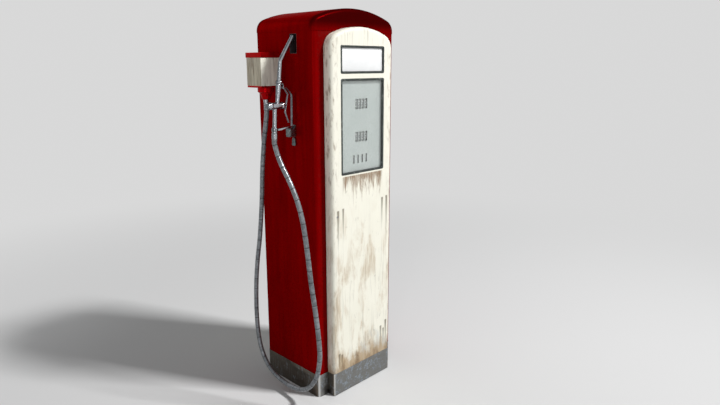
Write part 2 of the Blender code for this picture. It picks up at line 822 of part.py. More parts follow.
def window_bezel(name, top, height):
    """A frame that fills a window's edge and stands just proud of the door."""
    face = DOOR_FACE - BEZEL_PROUD
    outer = window_outline(top, height, GAP)
    inner = window_outline(top, height, BEZEL_WIDTH)
    return band(name, outer, inner, "Y", face, face + BEZEL_DEPTH, bezel_metal(), smooth=True)


def window_glass(name, top, height, finish):
    face = DOOR_FACE - BEZEL_PROUD + GLASS_SUNK
    outline = window_outline(top, height, BEZEL_WIDTH + GAP)
    return prism(name, outline, "Y", face, face + GLASS_THICKNESS, finish)


def front_door_set():
    shell = door("front_door")
    logo = (LOGO_TOP, LOGO_HEIGHT)
    dial = (DIAL_TOP, DIAL_HEIGHT)
    for label, (top, height) in (("logo", logo), ("dial", dial)):
        cutter = prism(label + "_window_cut", window_outline(top, height, 0), "Y",
                       DOOR_FACE - 0.01, DOOR_FACE + 0.01)
        cut(shell, cutter)
    fitted = [
        shell,
        window_bezel("logo_frame", *logo),
        window_glass("logo_glass", *logo, milk_glass()),
        window_bezel("dial_bezel", *dial),
        window_glass("dial_glass", *dial, clear_glass()),
    ]
    hang("front_door_pivot", (*hinge_axis(), 0), *fitted)
    lock = door_lock("front_door_lock")
    hang("front_door_lock_pivot", (lock_x(), DOOR_FACE, LOCK_HEIGHT), lock)
    door_hinge("front_door_hinge")
    kick_plate("front_kick_plate")


def rear_door_set():
    """The rear door is a plain one: the front door's form turned half a turn round the case."""
    shell = door("rear_door")
    lock = door_lock("rear_door_lock")
    pin = door_hinge("rear_door_hinge")
    kick = kick_plate("rear_kick_plate")
    pieces = [shell, lock, pin, kick]
    tools = [modifier.object for piece in pieces for modifier in piece.modifiers]
    turn_round(*pieces, *tools)
    axis_x, axis_y = hinge_axis()
    hang("rear_door_pivot", (-axis_x, -axis_y, 0), shell)
    hang("rear_door_lock_pivot", (-lock_x(), -DOOR_FACE, LOCK_HEIGHT), lock)


# ---------------------------------------------------------------- register


def row_places(centre, pitch):
    """Centres of a row of wheels, from the right, which turns fastest, to the left."""
    first = centre + pitch * (WHEELS_PER_ROW - 1) / 2
    return [first - pitch * i for i in range(WHEELS_PER_ROW)]


def dial_plate():
    half = WINDOW_WIDTH / 2 - DIAL_MARGIN
    low, high = (-half, DIAL_BOTTOM + DIAL_MARGIN), (half, DIAL_TOP - DIAL_MARGIN)
    outline = rounded_rect(low, high, WINDOW_CORNER, 2)
    plate = prism("dial_plate", outline, "Y", DIAL_FACE, DIAL_FACE + DIAL_PLATE, dial_paint())
    rows = (
        ("sale", SALE_Z, 0, WHEEL_PITCH, APERTURE_WIDTH, APERTURE_HEIGHT),
        ("volume", VOLUME_Z, 0, WHEEL_PITCH, APERTURE_WIDTH, APERTURE_HEIGHT),
        ("price", PRICE_Z, PRICE_OFFSET, PRICE_PITCH, PRICE_APERTURE_WIDTH, PRICE_APERTURE_HEIGHT),
    )
    for label, z, centre, pitch, width, height in rows:
        for number, x in enumerate(row_places(centre, pitch), 1):
            low = (x - width / 2, DIAL_FACE - 0.01, z - height / 2)
            high = (x + width / 2, DIAL_FACE + 0.01, z + height / 2)
            cut(plate, block(f"{label}_aperture_cut_{number}", low, high))
    return plate


def register_frame():
    """A back plate between the frame channels with two side plates that carry the shafts."""
    back = -CHANNEL_WIDTH / 2 - GAP
    front = DIAL_FACE + DIAL_PLATE + GAP
    low_z, high_z = DIAL_BOTTOM + DIAL_MARGIN, DIAL_TOP - DIAL_MARGIN
    wide, half, sheet = CHANNEL_OUTER, REGISTER_HALF, REGISTER_SHEET
    outline = [
        (-wide, back - sheet), (-half, back - sheet), (-half, front), (-half + sheet, front),
        (-half + sheet, back - sheet), (half - sheet, back - sheet), (half - sheet, front),
        (half, front), (half, back - sheet), (wide, back - sheet), (wide, back), (-wide, back),
    ]
    frame = prism("register_frame", outline, "Z", low_z, high_z, frame_steel())
    for label, z in (("sale", SALE_Z), ("volume", VOLUME_Z), ("price", PRICE_Z)):
        reach = REGISTER_HALF + 0.02
        cut(frame, bore_cut(f"{label}_bearing_cut", (-reach, WHEEL_Y, z), (reach, WHEEL_Y, z), SHAFT_RADIUS))
    return frame


def row_shaft(name, z, discs=()):
    """A shaft across the register, with turned discs at (centre, width, radius)."""
    end = REGISTER_HALF + 0.002
    profile = [(0, -end), (SHAFT_RADIUS, -end)]
    for centre, width, radius in discs:
        profile += [(SHAFT_RADIUS, centre - width / 2), (radius, centre - width / 2)]
        profile += [(radius, centre + width / 2), (SHAFT_RADIUS, centre + width / 2)]
    profile += [(SHAFT_RADIUS, end), (0, end)]
    return lathe(name, profile, (0, WHEEL_Y, z), (1, 0, 0), shaft_steel())


def number_wheel(name, x, z):
    start = (x - WHEEL_WIDTH / 2, WHEEL_Y, z)
    end = (x + WHEEL_WIDTH / 2, WHEEL_Y, z)
    return sleeve(name, start, end, WHEEL_RADIUS, SHAFT_RADIUS + RUNNING, wheel_plastic(), sides=20)


def register():
    dial_plate()
    register_frame()
    worm_wheel = [(WORM_WHEEL_X, 0.006, WORM_WHEEL_RADIUS)]
    for label, z, discs in (("sale", SALE_Z, ()), ("volume", VOLUME_Z, worm_wheel)):
        shaft = row_shaft(f"{label}_shaft", z, discs)
        hang(f"{label}_shaft_pivot", (0, WHEEL_Y, z), shaft)
        for number, x in enumerate(row_places(0, WHEEL_PITCH), 1):
            wheel = number_wheel(f"{label}_wheel_{number}", x, z)
            hang(f"{label}_wheel_{number}_pivot", (x, WHEEL_Y, z), wheel)
    rims = [(x, PRICE_WIDTH, WHEEL_RADIUS) for x in reversed(row_places(PRICE_OFFSET, PRICE_PITCH))]
    roller = row_shaft("price_roller", PRICE_Z, rims)
    hang("price_roller_pivot", (0, WHEEL_Y, PRICE_Z), roller)
    drive = lathe("register_drive_shaft", drive_profile(), (WORM_WHEEL_X, WORM_Y, METER_TOP + GAP),
                  (0, 0, 1), shaft_steel(), FINE_SIDES)
    hang("register_drive_pivot", (WORM_WHEEL_X, WORM_Y, METER_TOP), drive)


def drive_profile():
    """A plain shaft up from the meter that ends in the worm beside the worm wheel."""
    middle = VOLUME_Z - METER_TOP - GAP
    low, high = middle - 0.018, middle + 0.018
    return [(0, 0), (SHAFT_RADIUS, 0), (SHAFT_RADIUS, low), (WORM_RADIUS, low), (WORM_RADIUS, high),
            (SHAFT_RADIUS, high), (SHAFT_RADIUS, high + 0.01), (0, high + 0.01)]


# ---------------------------------------------------------------- machinery


def inlet_line():
    """Where the supply pipe comes up through the base, and where it enters the pump's back."""
    back = PUMP_Y + PUMP_DEPTH / 2
    bottom = Vector((PUMP_X, back + PIPE_BEND + 0.012, GAP))
    return bottom, Vector((PUMP_X, back + GAP, 0.110))


def pumping_unit():
    low = (PUMP_X - PUMP_WIDTH / 2, PUMP_Y - PUMP_DEPTH / 2)
    high = (PUMP_X + PUMP_WIDTH / 2, PUMP_Y + PUMP_DEPTH / 2)
    casing = prism("pumping_unit", rounded_rect(low, high, 0.02, 2), "Z", BASE_TOP, PUMP_HEIGHT, cast_iron())
    r, h = PUMP_DOME_RADIUS, PUMP_DOME_HEIGHT
    profile = [(0, -h / 3), (r, -h / 3), (r, h / 2), (0.82 * r, 0.83 * h), (0.36 * r, h), (0, h)]
    dome = lathe("pump_dome", profile, (PUMP_X, PUMP_Y, PUMP_HEIGHT), (0, 0, 1), sides=FINE_SIDES)
    front = PUMP_Y - PUMP_DEPTH / 2
    stub = rod("pump_stub", (PUMP_X, front + 0.01, PUMP_SHAFT_HEIGHT),
               (PUMP_X, BELT_PLANE_Y - PULLEY_WIDTH / 2, PUMP_SHAFT_HEIGHT), STUB_RADIUS)
    weld(casing, dome, stub)
    return casing


def motor():
    front = BELT_PLANE_Y + PULLEY_WIDTH / 2 + 0.015
    back = front + MOTOR_LENGTH
    body = rod("motor", (MOTOR_X, front, MOTOR_HEIGHT), (MOTOR_X, back, MOTOR_HEIGHT), MOTOR_RADIUS,
               cast_iron(), SIDES)
    foot = block("motor_foot", (MOTOR_X - 0.055, front + 0.03, BASE_TOP),
                 (MOTOR_X + 0.055, back - 0.03, MOTOR_HEIGHT - 0.03))
    stub = rod("motor_stub", (MOTOR_X, front + 0.01, MOTOR_HEIGHT),
               (MOTOR_X, BELT_PLANE_Y - PULLEY_WIDTH / 2, MOTOR_HEIGHT), STUB_RADIUS)
    weld(body, foot, stub)
    return body


def pulley(name, centre, groove_radius):
    """A grooved wheel that turns on its stub."""
    rim = groove_radius + BELT_THICKNESS + 0.003
    bore = STUB_RADIUS + RUNNING
    edge, groove = PULLEY_WIDTH / 2, BELT_WIDTH / 2 + GAP
    profile = [(bore, -edge), (rim, -edge), (rim, -groove), (groove_radius, -groove),
               (groove_radius, groove), (rim, groove), (rim, edge), (bore, edge)]
    made = lathe(name, profile, (centre[0], BELT_PLANE_Y, centre[1]), (0, 1, 0), frame_steel(), bored=True)
    hang(name + "_pivot", (centre[0], BELT_PLANE_Y, centre[1]), made)


def belt_loop(first, second, first_radius, second_radius, grow):
    """The path of a belt round two wheels, as an outline in the X-Z plane that clears both."""
    across = Vector(second) - Vector(first)
    heading = math.degrees(math.atan2(across.y, across.x))
    spread = math.degrees(math.acos((first_radius - second_radius) / across.length))
    wrap = 360 - 2 * spread
    clear = math.cos(math.radians(wrap / BELT_STEPS / 2)), math.cos(math.radians(spread / BELT_STEPS))
    near, far = (first_radius + grow) / clear[0], (second_radius + grow) / clear[1]
    points = arc(first, near, heading + spread, heading + spread + wrap, BELT_STEPS)
    points += arc(second, far, heading - spread, heading + spread, BELT_STEPS)
    return points


def belt_drive():
    small, large = (MOTOR_X, MOTOR_HEIGHT), (PUMP_X, PUMP_SHAFT_HEIGHT)
    pulley("motor_pulley", small, MOTOR_PULLEY_RADIUS)
    pulley("pump_pulley", large, PUMP_PULLEY_RADIUS)
    radii = (MOTOR_PULLEY_RADIUS, PUMP_PULLEY_RADIUS)
    inner = belt_loop(small, large, *radii, 2 * GAP)
    outer = belt_loop(small, large, *radii, BELT_THICKNESS)
    low, high = BELT_PLANE_Y - BELT_WIDTH / 2, BELT_PLANE_Y + BELT_WIDTH / 2
    band("drive_belt", outer, inner, "Y", low, high, black_rubber(), smooth=True)


def meter():
    foot, radius, height = METER_FOOT, METER_RADIUS, METER_HEIGHT
    step = METER_STEP
    profile = [(0, 0), (foot, 0), (foot, 1.2 * step), (radius, 3 * step), (radius, height - 2.5 * step),
               (radius - 1.5 * step, height - step), (foot, height - step), (foot, height), (0, height)]
    return lathe("meter", profile, (WORM_WHEEL_X, METER_Y, METER_BOTTOM), (0, 0, 1), cast_iron())


def pipes():
    bottom, into_pump = inlet_line()
    elbow = Vector((bottom.x, bottom.y, into_pump.z))
    pipe("inlet_pipe", rounded_path([bottom, elbow, into_pump], PIPE_BEND), PIPE_RADIUS, shaft_steel(), 2)
    start = Vector((PUMP_X, PUMP_Y, PUMP_HEIGHT + PUMP_DOME_HEIGHT + GAP))
    end = Vector((WORM_WHEEL_X, METER_Y, METER_BOTTOM - GAP))
    low_elbow = start + Vector((0, 0, 0.35 * (end.z - start.z)))
    high_elbow = end - Vector((0, 0, 0.35 * (end.z - start.z)))
    riser = rounded_path([start, low_elbow, high_elbow, end], 2 * PIPE_BEND)
    pipe("riser_pipe", riser, PIPE_RADIUS, shaft_steel(), 2)
    tap = Vector((WORM_WHEEL_X, METER_Y + METER_RADIUS + GAP, METER_BOTTOM + METER_HEIGHT / 2))
    corners = [
        tap,
        Vector((tap.x, SWIVEL_Y, tap.z)),
        Vector((OUTLET_PIPE_X, SWIVEL_Y, tap.z)),
        Vector((OUTLET_PIPE_X, SWIVEL_Y, OUTLET_Z)),
        Vector((SWIVEL_X, SWIVEL_Y, OUTLET_Z)),
        Vector((SWIVEL_X, SWIVEL_Y, SWIVEL_TOP + GAP)),
    ]
    pipe("outlet_pipe", rounded_path(corners, PIPE_BEND), PIPE_RADIUS, shaft_steel(), 2)


def lamp():
    """A tube behind the logo glass, held by a batten under the head plate."""
    top = HEAD_TOP - HEAD_SHEET - GAP
    centre_z = LOGO_TOP - LOGO_HEIGHT / 2
    y = FRONT + 0.05
    half = LAMP_HALF
    batten = block("lamp", (-half - 0.015, y - 0.02, top - 0.02), (half + 0.015, y + 0.02, top), milk_glass())
    for side in (-1, 1):
        low = (min(side * half, side * (half + 0.015)), y - 0.015, centre_z - 0.016)
        high = (max(side * half, side * (half + 0.015)), y + 0.015, top - 0.01)
        weld(batten, block(f"lamp_end_{side + 1}", low, high))
    ends = (-half - 0.005, y, centre_z), (half + 0.005, y, centre_z)
    weld(batten, rod("lamp_tube", *ends, LAMP_TUBE_RADIUS))
    return batten


# ---------------------------------------------------------------- outlet


def outlet():
    near, far = SIDE - GAP, SIDE - OUTLET_OUT
    low, high = (far, OUTLET_FRONT_Y), (near, OUTLET_BACK_Y)
    wall = OUTLET_WALL
    inner_low = (far + wall, OUTLET_FRONT_Y + wall)
    inner_high = (near - wall, OUTLET_BACK_Y - wall)
    outer = rounded_rect(low, high, OUTLET_CORNER, 1)
    inner = rounded_rect(inner_low, inner_high, OUTLET_CORNER / 3, 1)
    housing = band("outlet_housing", outer, inner, "Z", OUTLET_BOTTOM, OUTLET_TOP, cream_enamel())
    middle = (near + far) / 2
    cut(housing, bore_cut("housing_pipe_cut", (middle, SWIVEL_Y, OUTLET_Z), (near + 0.01, SWIVEL_Y, OUTLET_Z),
                          PIPE_RADIUS))
    rim_low = (far - CAP_OVERHANG, OUTLET_FRONT_Y - CAP_OVERHANG)
    rim_high = (near, OUTLET_BACK_Y + CAP_OVERHANG)
    prism("outlet_cap", rounded_rect(rim_low, rim_high, FLANGE_CORNER, 2), "Z", OUTLET_TOP + GAP,
          OUTLET_TOP + GAP + CAP_HEIGHT, red_enamel())
    flange_bottom = SWIVEL_TOP - SWIVEL_FLANGE
    flange = rounded_rect(low, high, FLANGE_CORNER, 2)
    swivel = prism("outlet_swivel", flange, "Z", flange_bottom, SWIVEL_TOP, red_enamel())
    r, depth = SWIVEL_RADIUS, SWIVEL_DEPTH
    bell = [(0, 0.004), (r, 0.004), (r, -0.45 * depth), (0.95 * r, -0.70 * depth), (0.82 * r, -0.90 * depth),
            (0.62 * r, -depth), (0, -depth)]
    weld(swivel, lathe("swivel_bell", bell[::-1], (SWIVEL_X, SWIVEL_Y, flange_bottom), (0, 0, 1)))
    hose_ferrule()


def hose_ferrule():
    r, length = FERRULE_RADIUS, FERRULE_LENGTH
    profile = [(0, -length), (r - 0.001, -length), (r, -length + 0.002), (r - 0.001, -length + 0.012),
               (r - 0.001, -0.014), (r + 0.001, -0.012), (r + 0.001, 0), (0, 0)]
    lathe("hose_ferrule", profile, (SWIVEL_X, SWIVEL_Y, FERRULE_TOP), (0, 0, 1), nozzle_metal(), FINE_SIDES)


# ---------------------------------------------------------------- nozzle and what holds it


def at(place, y=NOZZLE_Y):
    """A point given as (distance out from the case side, height above the nozzle's datum)."""
    return Vector((SIDE - place[0], y, NOZZLE_Z + place[1]))


def flat(places):
    """The same points as an outline in the X-Z plane."""
    return [(SIDE - out, NOZZLE_Z + up) for out, up in places]


def spout():
    """A bent tube from the collar nut up to the tip, which lies in the pocket."""
    seat = along(NUT_TOP, SPOUT_BEND, -NUT_LENGTH)
    corners = [at(seat), at(SPOUT_BEND), at(SPOUT_TIP)]
    outer = as_mesh(pipe("spout", rounded_path(corners, 0.03), SPOUT_RADIUS, resolution=2))
    outer.data.materials.append(nozzle_metal())
    before = along(seat, SPOUT_BEND, -0.01)
    beyond = along(SPOUT_TIP, SPOUT_BEND, -0.01)
    bore_route = rounded_path([at(before), at(SPOUT_BEND), at(beyond)], 0.03)
    cut(outer, as_mesh(pipe("spout_bore_cut", bore_route, SPOUT_BORE, resolution=2)))
    return outer


def nozzle_body():
    """Spout socket, valve chamber and handle tube, cast in one piece."""
    seat = along(NUT_TOP, SPOUT_BEND, -NUT_LENGTH - GAP)
    foot = along(seat, SPOUT_BEND, -BODY_LENGTH)
    axis = at(foot) - at(seat)
    taper = [(0, 0), (0.0135, 0), (0.0140, 0.012), (0.0115, 0.05), (0.0095, BODY_LENGTH), (0, BODY_LENGTH)]
    body = lathe("nozzle_body", taper, at(seat), axis, nozzle_metal(), FINE_SIDES)
    r = CHAMBER_RADIUS
    length = CHAMBER_FAR - CHAMBER_NEAR
    barrel = [(0, 0), (r - 0.002, 0), (r, 0.002), (r, length - 0.012), (r - 0.003, length - 0.010),
              (r - 0.003, length), (0, length)]
    chamber = lathe("nozzle_chamber", barrel, at((CHAMBER_NEAR, 0)), (-1, 0, 0))
    handle = rod("nozzle_handle", at(HANDLE_TOP), at(HANDLE_END), HANDLE_RADIUS)
    bore = bore_cut("stem_bore_cut", at((CHAMBER_NEAR - 0.01, 0)), at((STEM_BORE_END, 0)), STEM_RADIUS, 12)
    weld(body, chamber, handle)
    cut(body, bore)
    return body


def collar_nut():
    top = at(NUT_TOP)
    bottom = at(along(NUT_TOP, SPOUT_BEND, -NUT_LENGTH))
    bore = (SPOUT_RADIUS + GAP) / math.cos(math.pi / NUT_SIDES)
    return sleeve("collar_nut", bottom, top, NUT_RADIUS, bore, nozzle_metal(), NUT_SIDES)


def swivel():
    """The knurled collar and hose end below the handle."""
    axis = at(HANDLE_END) - at(HANDLE_TOP)
    start = at(HANDLE_END) + axis.normalized() * GAP
    r = COLLAR_RADIUS
    profile = [(0, 0), (r - 0.002, 0), (r, 0.002), (r, 0.017), (r - 0.003, 0.019), (r - 0.003, 0.024),
               (r - 0.001, 0.026), (r - 0.001, 0.048), (r - 0.003, SWIVEL_LENGTH), (0, SWIVEL_LENGTH)]
    return lathe("hose_swivel", profile, start, axis, nozzle_metal(), FINE_SIDES)


def swivel_end():
    axis = (at(HANDLE_END) - at(HANDLE_TOP)).normalized()
    return at(HANDLE_END) + axis * (SWIVEL_LENGTH + 2 * GAP), axis


def arm_height(out):
    """Height of the guard's lower arm, centre line, at a distance out from the case side."""
    near, far = GUARD_CORNER, guard_end()
    return near[1] + (far[1] - near[1]) * (out - near[0]) / (far[0] - near[0])


def guard_end():
    return HANDLE_END[0] - COLLAR_RADIUS - GAP, HANDLE_END[1] - 0.010


def guard_tail():
    """Where the lower arm starts, under the strap's corner."""
    out = GUARD_CORNER[0] - STRAP_THICKNESS / 2
    return out, arm_height(out)


def guard():
    """A strap from the collar nut round to the swivel, with cheeks that hold the lever's pin."""
    start = (NUT_TOP[0] - NUT_RADIUS - NUT_GAP, GUARD_START)
    route = rounded_path([start, GUARD_KNEE, GUARD_SHOULDER, GUARD_CORNER], GUARD_BEND)
    half = STRAP_WIDTH / 2
    strap = prism("guard", strip_outline(flat(route), STRAP_THICKNESS), "Y", NOZZLE_Y - half, NOZZLE_Y + half,
                  nozzle_metal(), smooth=True)
    arm = prism("guard_arm", strip_outline(flat([guard_tail(), guard_end()]), ARM_THICKNESS), "Y",
                NOZZLE_Y - half, NOZZLE_Y + half)
    weld(strap, arm)
    out, up = LEVER_PIVOT
    reach = LEVER_EYE_RADIUS
    ends = along(start, GUARD_KNEE, CHEEK_START), along(start, GUARD_KNEE, CHEEK_END)
    cheek = [(out + reach, up - reach), *ends, (out - reach, up - reach)]
    inner = LEVER_WIDTH / 2 + GAP
    for side, label in ((-1, "front"), (1, "rear")):
        span = sorted((NOZZLE_Y + side * inner, NOZZLE_Y + side * (inner + CHEEK_THICKNESS)))
        weld(strap, prism(f"guard_cheek_{label}", flat(cheek), "Y", *span))
    pin_half = inner + CHEEK_THICKNESS / 2
    weld(strap, rod("lever_pin", at(LEVER_PIVOT, NOZZLE_Y - pin_half), at(LEVER_PIVOT, NOZZLE_Y + pin_half),
                    LEVER_PIN_RADIUS, sides=12))
    return strap


def lever():
    """The squeeze lever: its middle bears on the valve stem."""
    half = LEVER_WIDTH / 2
    route = rounded_path([LEVER_PIVOT, *LEVER_ROUTE], 0.012)
    blade = prism("lever", strip_outline(flat(route), STRAP_THICKNESS), "Y", NOZZLE_Y - half, NOZZLE_Y + half,
                  nozzle_metal(), smooth=True)
    ends = at(LEVER_PIVOT, NOZZLE_Y - half), at(LEVER_PIVOT, NOZZLE_Y + half)
    weld(blade, rod("lever_eye", *ends, LEVER_EYE_RADIUS))
    reach = Vector((0, 0.01, 0))
    cut(blade, bore_cut("lever_bore_cut", ends[0] - reach, ends[1] + reach, LEVER_PIN_RADIUS, 12))
    return blade


def valve_stem():
    tip = LEVER_ROUTE[1][0] + STRAP_THICKNESS / 2 + 0.0012
    return rod("valve_stem", at((tip, 0)), at((STEM_END, 0)), STEM_RADIUS, shaft_steel(), 12)


def nozzle():
    carried = [spout(), nozzle_body(), collar_nut(), swivel(), guard()]
    hang("nozzle_pivot", at((0, 0)), *carried)
    hang("lever_pivot", at(LEVER_PIVOT), lever())
    hang("valve_stem_pivot", at((CHAMBER_NEAR, 0)), valve_stem())


def nozzle_hook():
    """A solid bracket on the case whose notched top holds the guard's lower corner."""
    low = GUARD_CORNER[1] - HOOK_DEPTH
    seat = ARM_THICKNESS / 2 + GAP
    top = [arm_height(out) - seat for out in (HOOK_LEDGE, HOOK_REACH)]
    corner = guard_tail()[0], guard_tail()[1] - ARM_THICKNESS / 2 - 2 * GAP
    wall, notch = HOOK_SHEET + GAP, corner[0] + HOOK_NOTCH
    slope = [corner[1] - HOOK_SLOPE * (out - corner[0]) for out in (wall, notch)]
    outer = [(GAP, low), (GAP, slope[0]), (wall, slope[0]), (notch, slope[1]), (HOOK_LEDGE, top[0]),
             (HOOK_REACH, top[1]), (HOOK_REACH, low)]
    half = HOOK_WIDTH / 2
    return prism("nozzle_hook", flat(outer), "Y", NOZZLE_Y - half, NOZZLE_Y + half, nozzle_metal())


def switch_lever():
    """A paddle on a shaft through the side panel that turns the motor's switch."""
    z = NOZZLE_Z - SWITCH_BELOW
    tip = z - SWITCH_LENGTH
    eye = arc((NOZZLE_Y, z), SWITCH_EYE, -10, 190, 8)
    outline = eye + [(NOZZLE_Y - SWITCH_HALF_WIDTH, tip + 0.004), (NOZZLE_Y - SWITCH_HALF_WIDTH + 0.004, tip),
                     (NOZZLE_Y + SWITCH_HALF_WIDTH - 0.004, tip), (NOZZLE_Y + SWITCH_HALF_WIDTH, tip + 0.004)]
    near = SIDE - 0.0035
    paddle = prism("switch_lever", outline, "X", near - SWITCH_SHEET, near, nozzle_metal())
    boss = rod("switch_boss", (near + 0.001 - SWITCH_SHEET, NOZZLE_Y, z), (SIDE - GAP, NOZZLE_Y, z), 0.008)
    shaft = rod("switch_shaft", (near - SWITCH_SHEET / 2, NOZZLE_Y, z), (SIDE + 0.030, NOZZLE_Y, z),
                SHAFT_RADIUS, sides=12)
    weld(paddle, boss, shaft)
    hang("switch_lever_pivot", (SIDE, NOZZLE_Y, z), paddle)


def spout_pocket():
    """An open box let into the side panel, which takes the end of the spout."""
    near, far = SIDE, SIDE + POCKET_DEPTH
    half = POCKET_WIDTH / 2 - GAP
    low, high = POCKET_TOP - POCKET_HEIGHT + GAP, POCKET_TOP - GAP
    liner = block("spout_pocket", (near, POCKET_Y - half, low), (far, POCKET_Y + half, high), frame_steel())
    t = POCKET_SHEET
    cut(liner, block("pocket_cut", (near - 0.01, POCKET_Y - half + t, low + t),
                     (far - t, POCKET_Y + half - t, high - t)))
    return liner


# ---------------------------------------------------------------- hose


def smooth_points(route, step):
    """Points at an even step along a smooth curve; the first and last points only aim its ends."""
    route = [Vector(point) for point in route]
    fine = []
    for a, b, c, d in zip(route, route[1:], route[2:], route[3:]):
        for i in range(FINE_STEPS):
            t = i / FINE_STEPS
            fine.append(0.5 * (2 * b + (c - a) * t + (2 * a - 5 * b + 4 * c - d) * t * t
                               + (3 * b - a - 3 * c + d) * t**3))
    fine.append(route[-2])
    lengths = [0.0]
    for first, second in zip(fine, fine[1:]):
        lengths.append(lengths[-1] + (second - first).length)
    count = round(lengths[-1] / step)
    points, index = [], 0
    for i in range(count + 1):
        wanted = lengths[-1] * i / count
        while index < len(fine) - 2 and lengths[index + 1] < wanted:
            index += 1
        share = (wanted - lengths[index]) / (lengths[index + 1] - lengths[index])
        points.append(fine[index].lerp(fine[index + 1], share))
    return points


def hose():
    """From the ferrule, down in a loop that clears the ground, and up to the nozzle's swivel."""
    start = Vector((SWIVEL_X, SWIVEL_Y, FERRULE_END - GAP))
    below = start - Vector((0, 0, HOSE_STUB))
    end, axis = swivel_end()
    route = [start, below, *HOSE_ROUTE, end + axis * HOSE_STUB, end]
    points = [start, *smooth_points(route, HOSE_STEP), end]
    return pipe("hose", points, HOSE_DIAMETER / 2, hose_cover(), 2)


def main():
    for leftover in list(bpy.data.objects):
        bpy.data.objects.remove(leftover)
    base_plate()
    frame_channel("frame_channel_left", -1)
    frame_channel("frame_channel_right", 1)
    meter_shelf()
    head_plate()
    left_panel()
    side_panel("right_side_panel", 1)
    top_cover()
    skirt()
    front_door_set()
    rear_door_set()
    register()
    pumping_unit()
    motor()
    belt_drive()
    meter()
    pipes()
    lamp()
    outlet()
    nozzle()
    nozzle_hook()
    switch_lever()
    spout_pocket()
    hose()


main()
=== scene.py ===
"""Studio scene of a worn cabinet fuel dispenser.

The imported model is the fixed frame. Each sub-assembly class builds the finer pieces that stand for its
CAD nodes, and each finish class builds one procedural material. Lengths are metres, +Z is up, the dial
faces -Y and the hose hangs on the -X side.
"""

import logging
import math
from dataclasses import dataclass
from enum import Enum
from functools import reduce
from typing import Iterable, Sequence

import bmesh
import bpy
from mathutils import Matrix, Vector
from mathutils.kdtree import KDTree


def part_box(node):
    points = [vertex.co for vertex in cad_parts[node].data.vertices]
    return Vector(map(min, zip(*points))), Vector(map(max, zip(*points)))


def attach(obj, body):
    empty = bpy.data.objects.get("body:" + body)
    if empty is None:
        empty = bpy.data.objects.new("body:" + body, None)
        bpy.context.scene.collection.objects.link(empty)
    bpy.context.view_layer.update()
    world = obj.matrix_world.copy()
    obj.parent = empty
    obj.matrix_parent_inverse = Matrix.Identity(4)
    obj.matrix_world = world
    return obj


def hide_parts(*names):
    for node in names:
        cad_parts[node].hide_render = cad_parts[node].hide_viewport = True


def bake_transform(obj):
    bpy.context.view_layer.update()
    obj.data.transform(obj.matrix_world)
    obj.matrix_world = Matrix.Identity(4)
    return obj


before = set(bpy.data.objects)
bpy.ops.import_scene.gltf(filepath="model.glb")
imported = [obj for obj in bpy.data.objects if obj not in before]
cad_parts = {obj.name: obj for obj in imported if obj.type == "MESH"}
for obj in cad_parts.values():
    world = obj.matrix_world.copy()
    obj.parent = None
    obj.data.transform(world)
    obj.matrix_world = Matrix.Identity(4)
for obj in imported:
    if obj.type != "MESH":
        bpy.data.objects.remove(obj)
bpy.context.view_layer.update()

log = logging.getLogger("dispenser")

Pair = tuple[float, float]
Triple = tuple[float, float, float]
Colour = tuple[float, float, float]
Spot = Sequence[float]
Object = bpy.types.Object
Socket = bpy.types.NodeSocket
Coat = tuple[Socket, object, Colour]

GAP = 0.0003  # between parts that do not touch
TINY = 1e-6  # below this, two lengths count as the same
REACH = 0.01  # how far a cutter stands past what it cuts
UP = Vector((0.0, 0.0, 1.0))


class Axis(Enum):
    """The axis that an outline is pushed along, with where its two coordinates go."""

    Y = (0, 2, 1)
    Z = (0, 1, 2)

    def place(self, u: float, v: float, w: float) -> Vector:
        """Puts outline coordinates u and v, and w along the axis, into the frame."""
        spot = Vector((0.0, 0.0, 0.0))
        for index, value in zip(self.value, (u, v, w)):
            spot[index] = value
        return spot


@dataclass(frozen=True)
class Box:
    """A CAD node's box at rest."""

    lo: Vector
    hi: Vector

    @classmethod
    def of(cls, node: str) -> "Box":
        """Reads a node's box from the frame."""
        return cls(*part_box(node))

    @property
    def centre(self) -> Vector:
        """The box's middle."""
        return (self.lo + self.hi) / 2

    def outline(self, axis: Axis, inset: float, radius: float, steps: int = 6) -> list[Pair]:
        """The box's outline along an axis, moved inwards and rounded."""
        u, v, _ = axis.value
        return rounded_rect((self.lo[u] + inset, self.lo[v] + inset), (self.hi[u] - inset, self.hi[v] - inset),
                            radius, steps)


# ---------------------------------------------------------------- outlines


def arc(centre: Pair, radius: float, start: float, end: float, steps: int) -> list[Pair]:
    """Points on an arc, both ends included.

    Args:
        centre: the arc's centre.
        radius: its radius.
        start: the first angle, in degrees.
        end: the last angle, in degrees.
        steps: how many chords it has.

    Returns:
        The points in order.
    """
    turns = [math.radians(start + (end - start) * i / steps) for i in range(steps + 1)]
    return [(centre[0] + radius * math.cos(t), centre[1] + radius * math.sin(t)) for t in turns]


def rounded_rect(low: Pair, high: Pair, radius: float, steps: int = 8) -> list[Pair]:
    """A rectangle with rounded corners, counter-clockwise.

    Args:
        low: its lower corner.
        high: its upper corner.
        radius: the corners' radius.
        steps: chords in each corner.

    Returns:
        The outline's points.
    """
    left, right, under, over = low[0] + radius, high[0] - radius, low[1] + radius, high[1] - radius
    corners = ((right, under, -90), (right, over, 0), (left, over, 90), (left, under, 180))
    return [point for u, v, start in corners for point in arc((u, v), radius, start, start + 90, steps)]


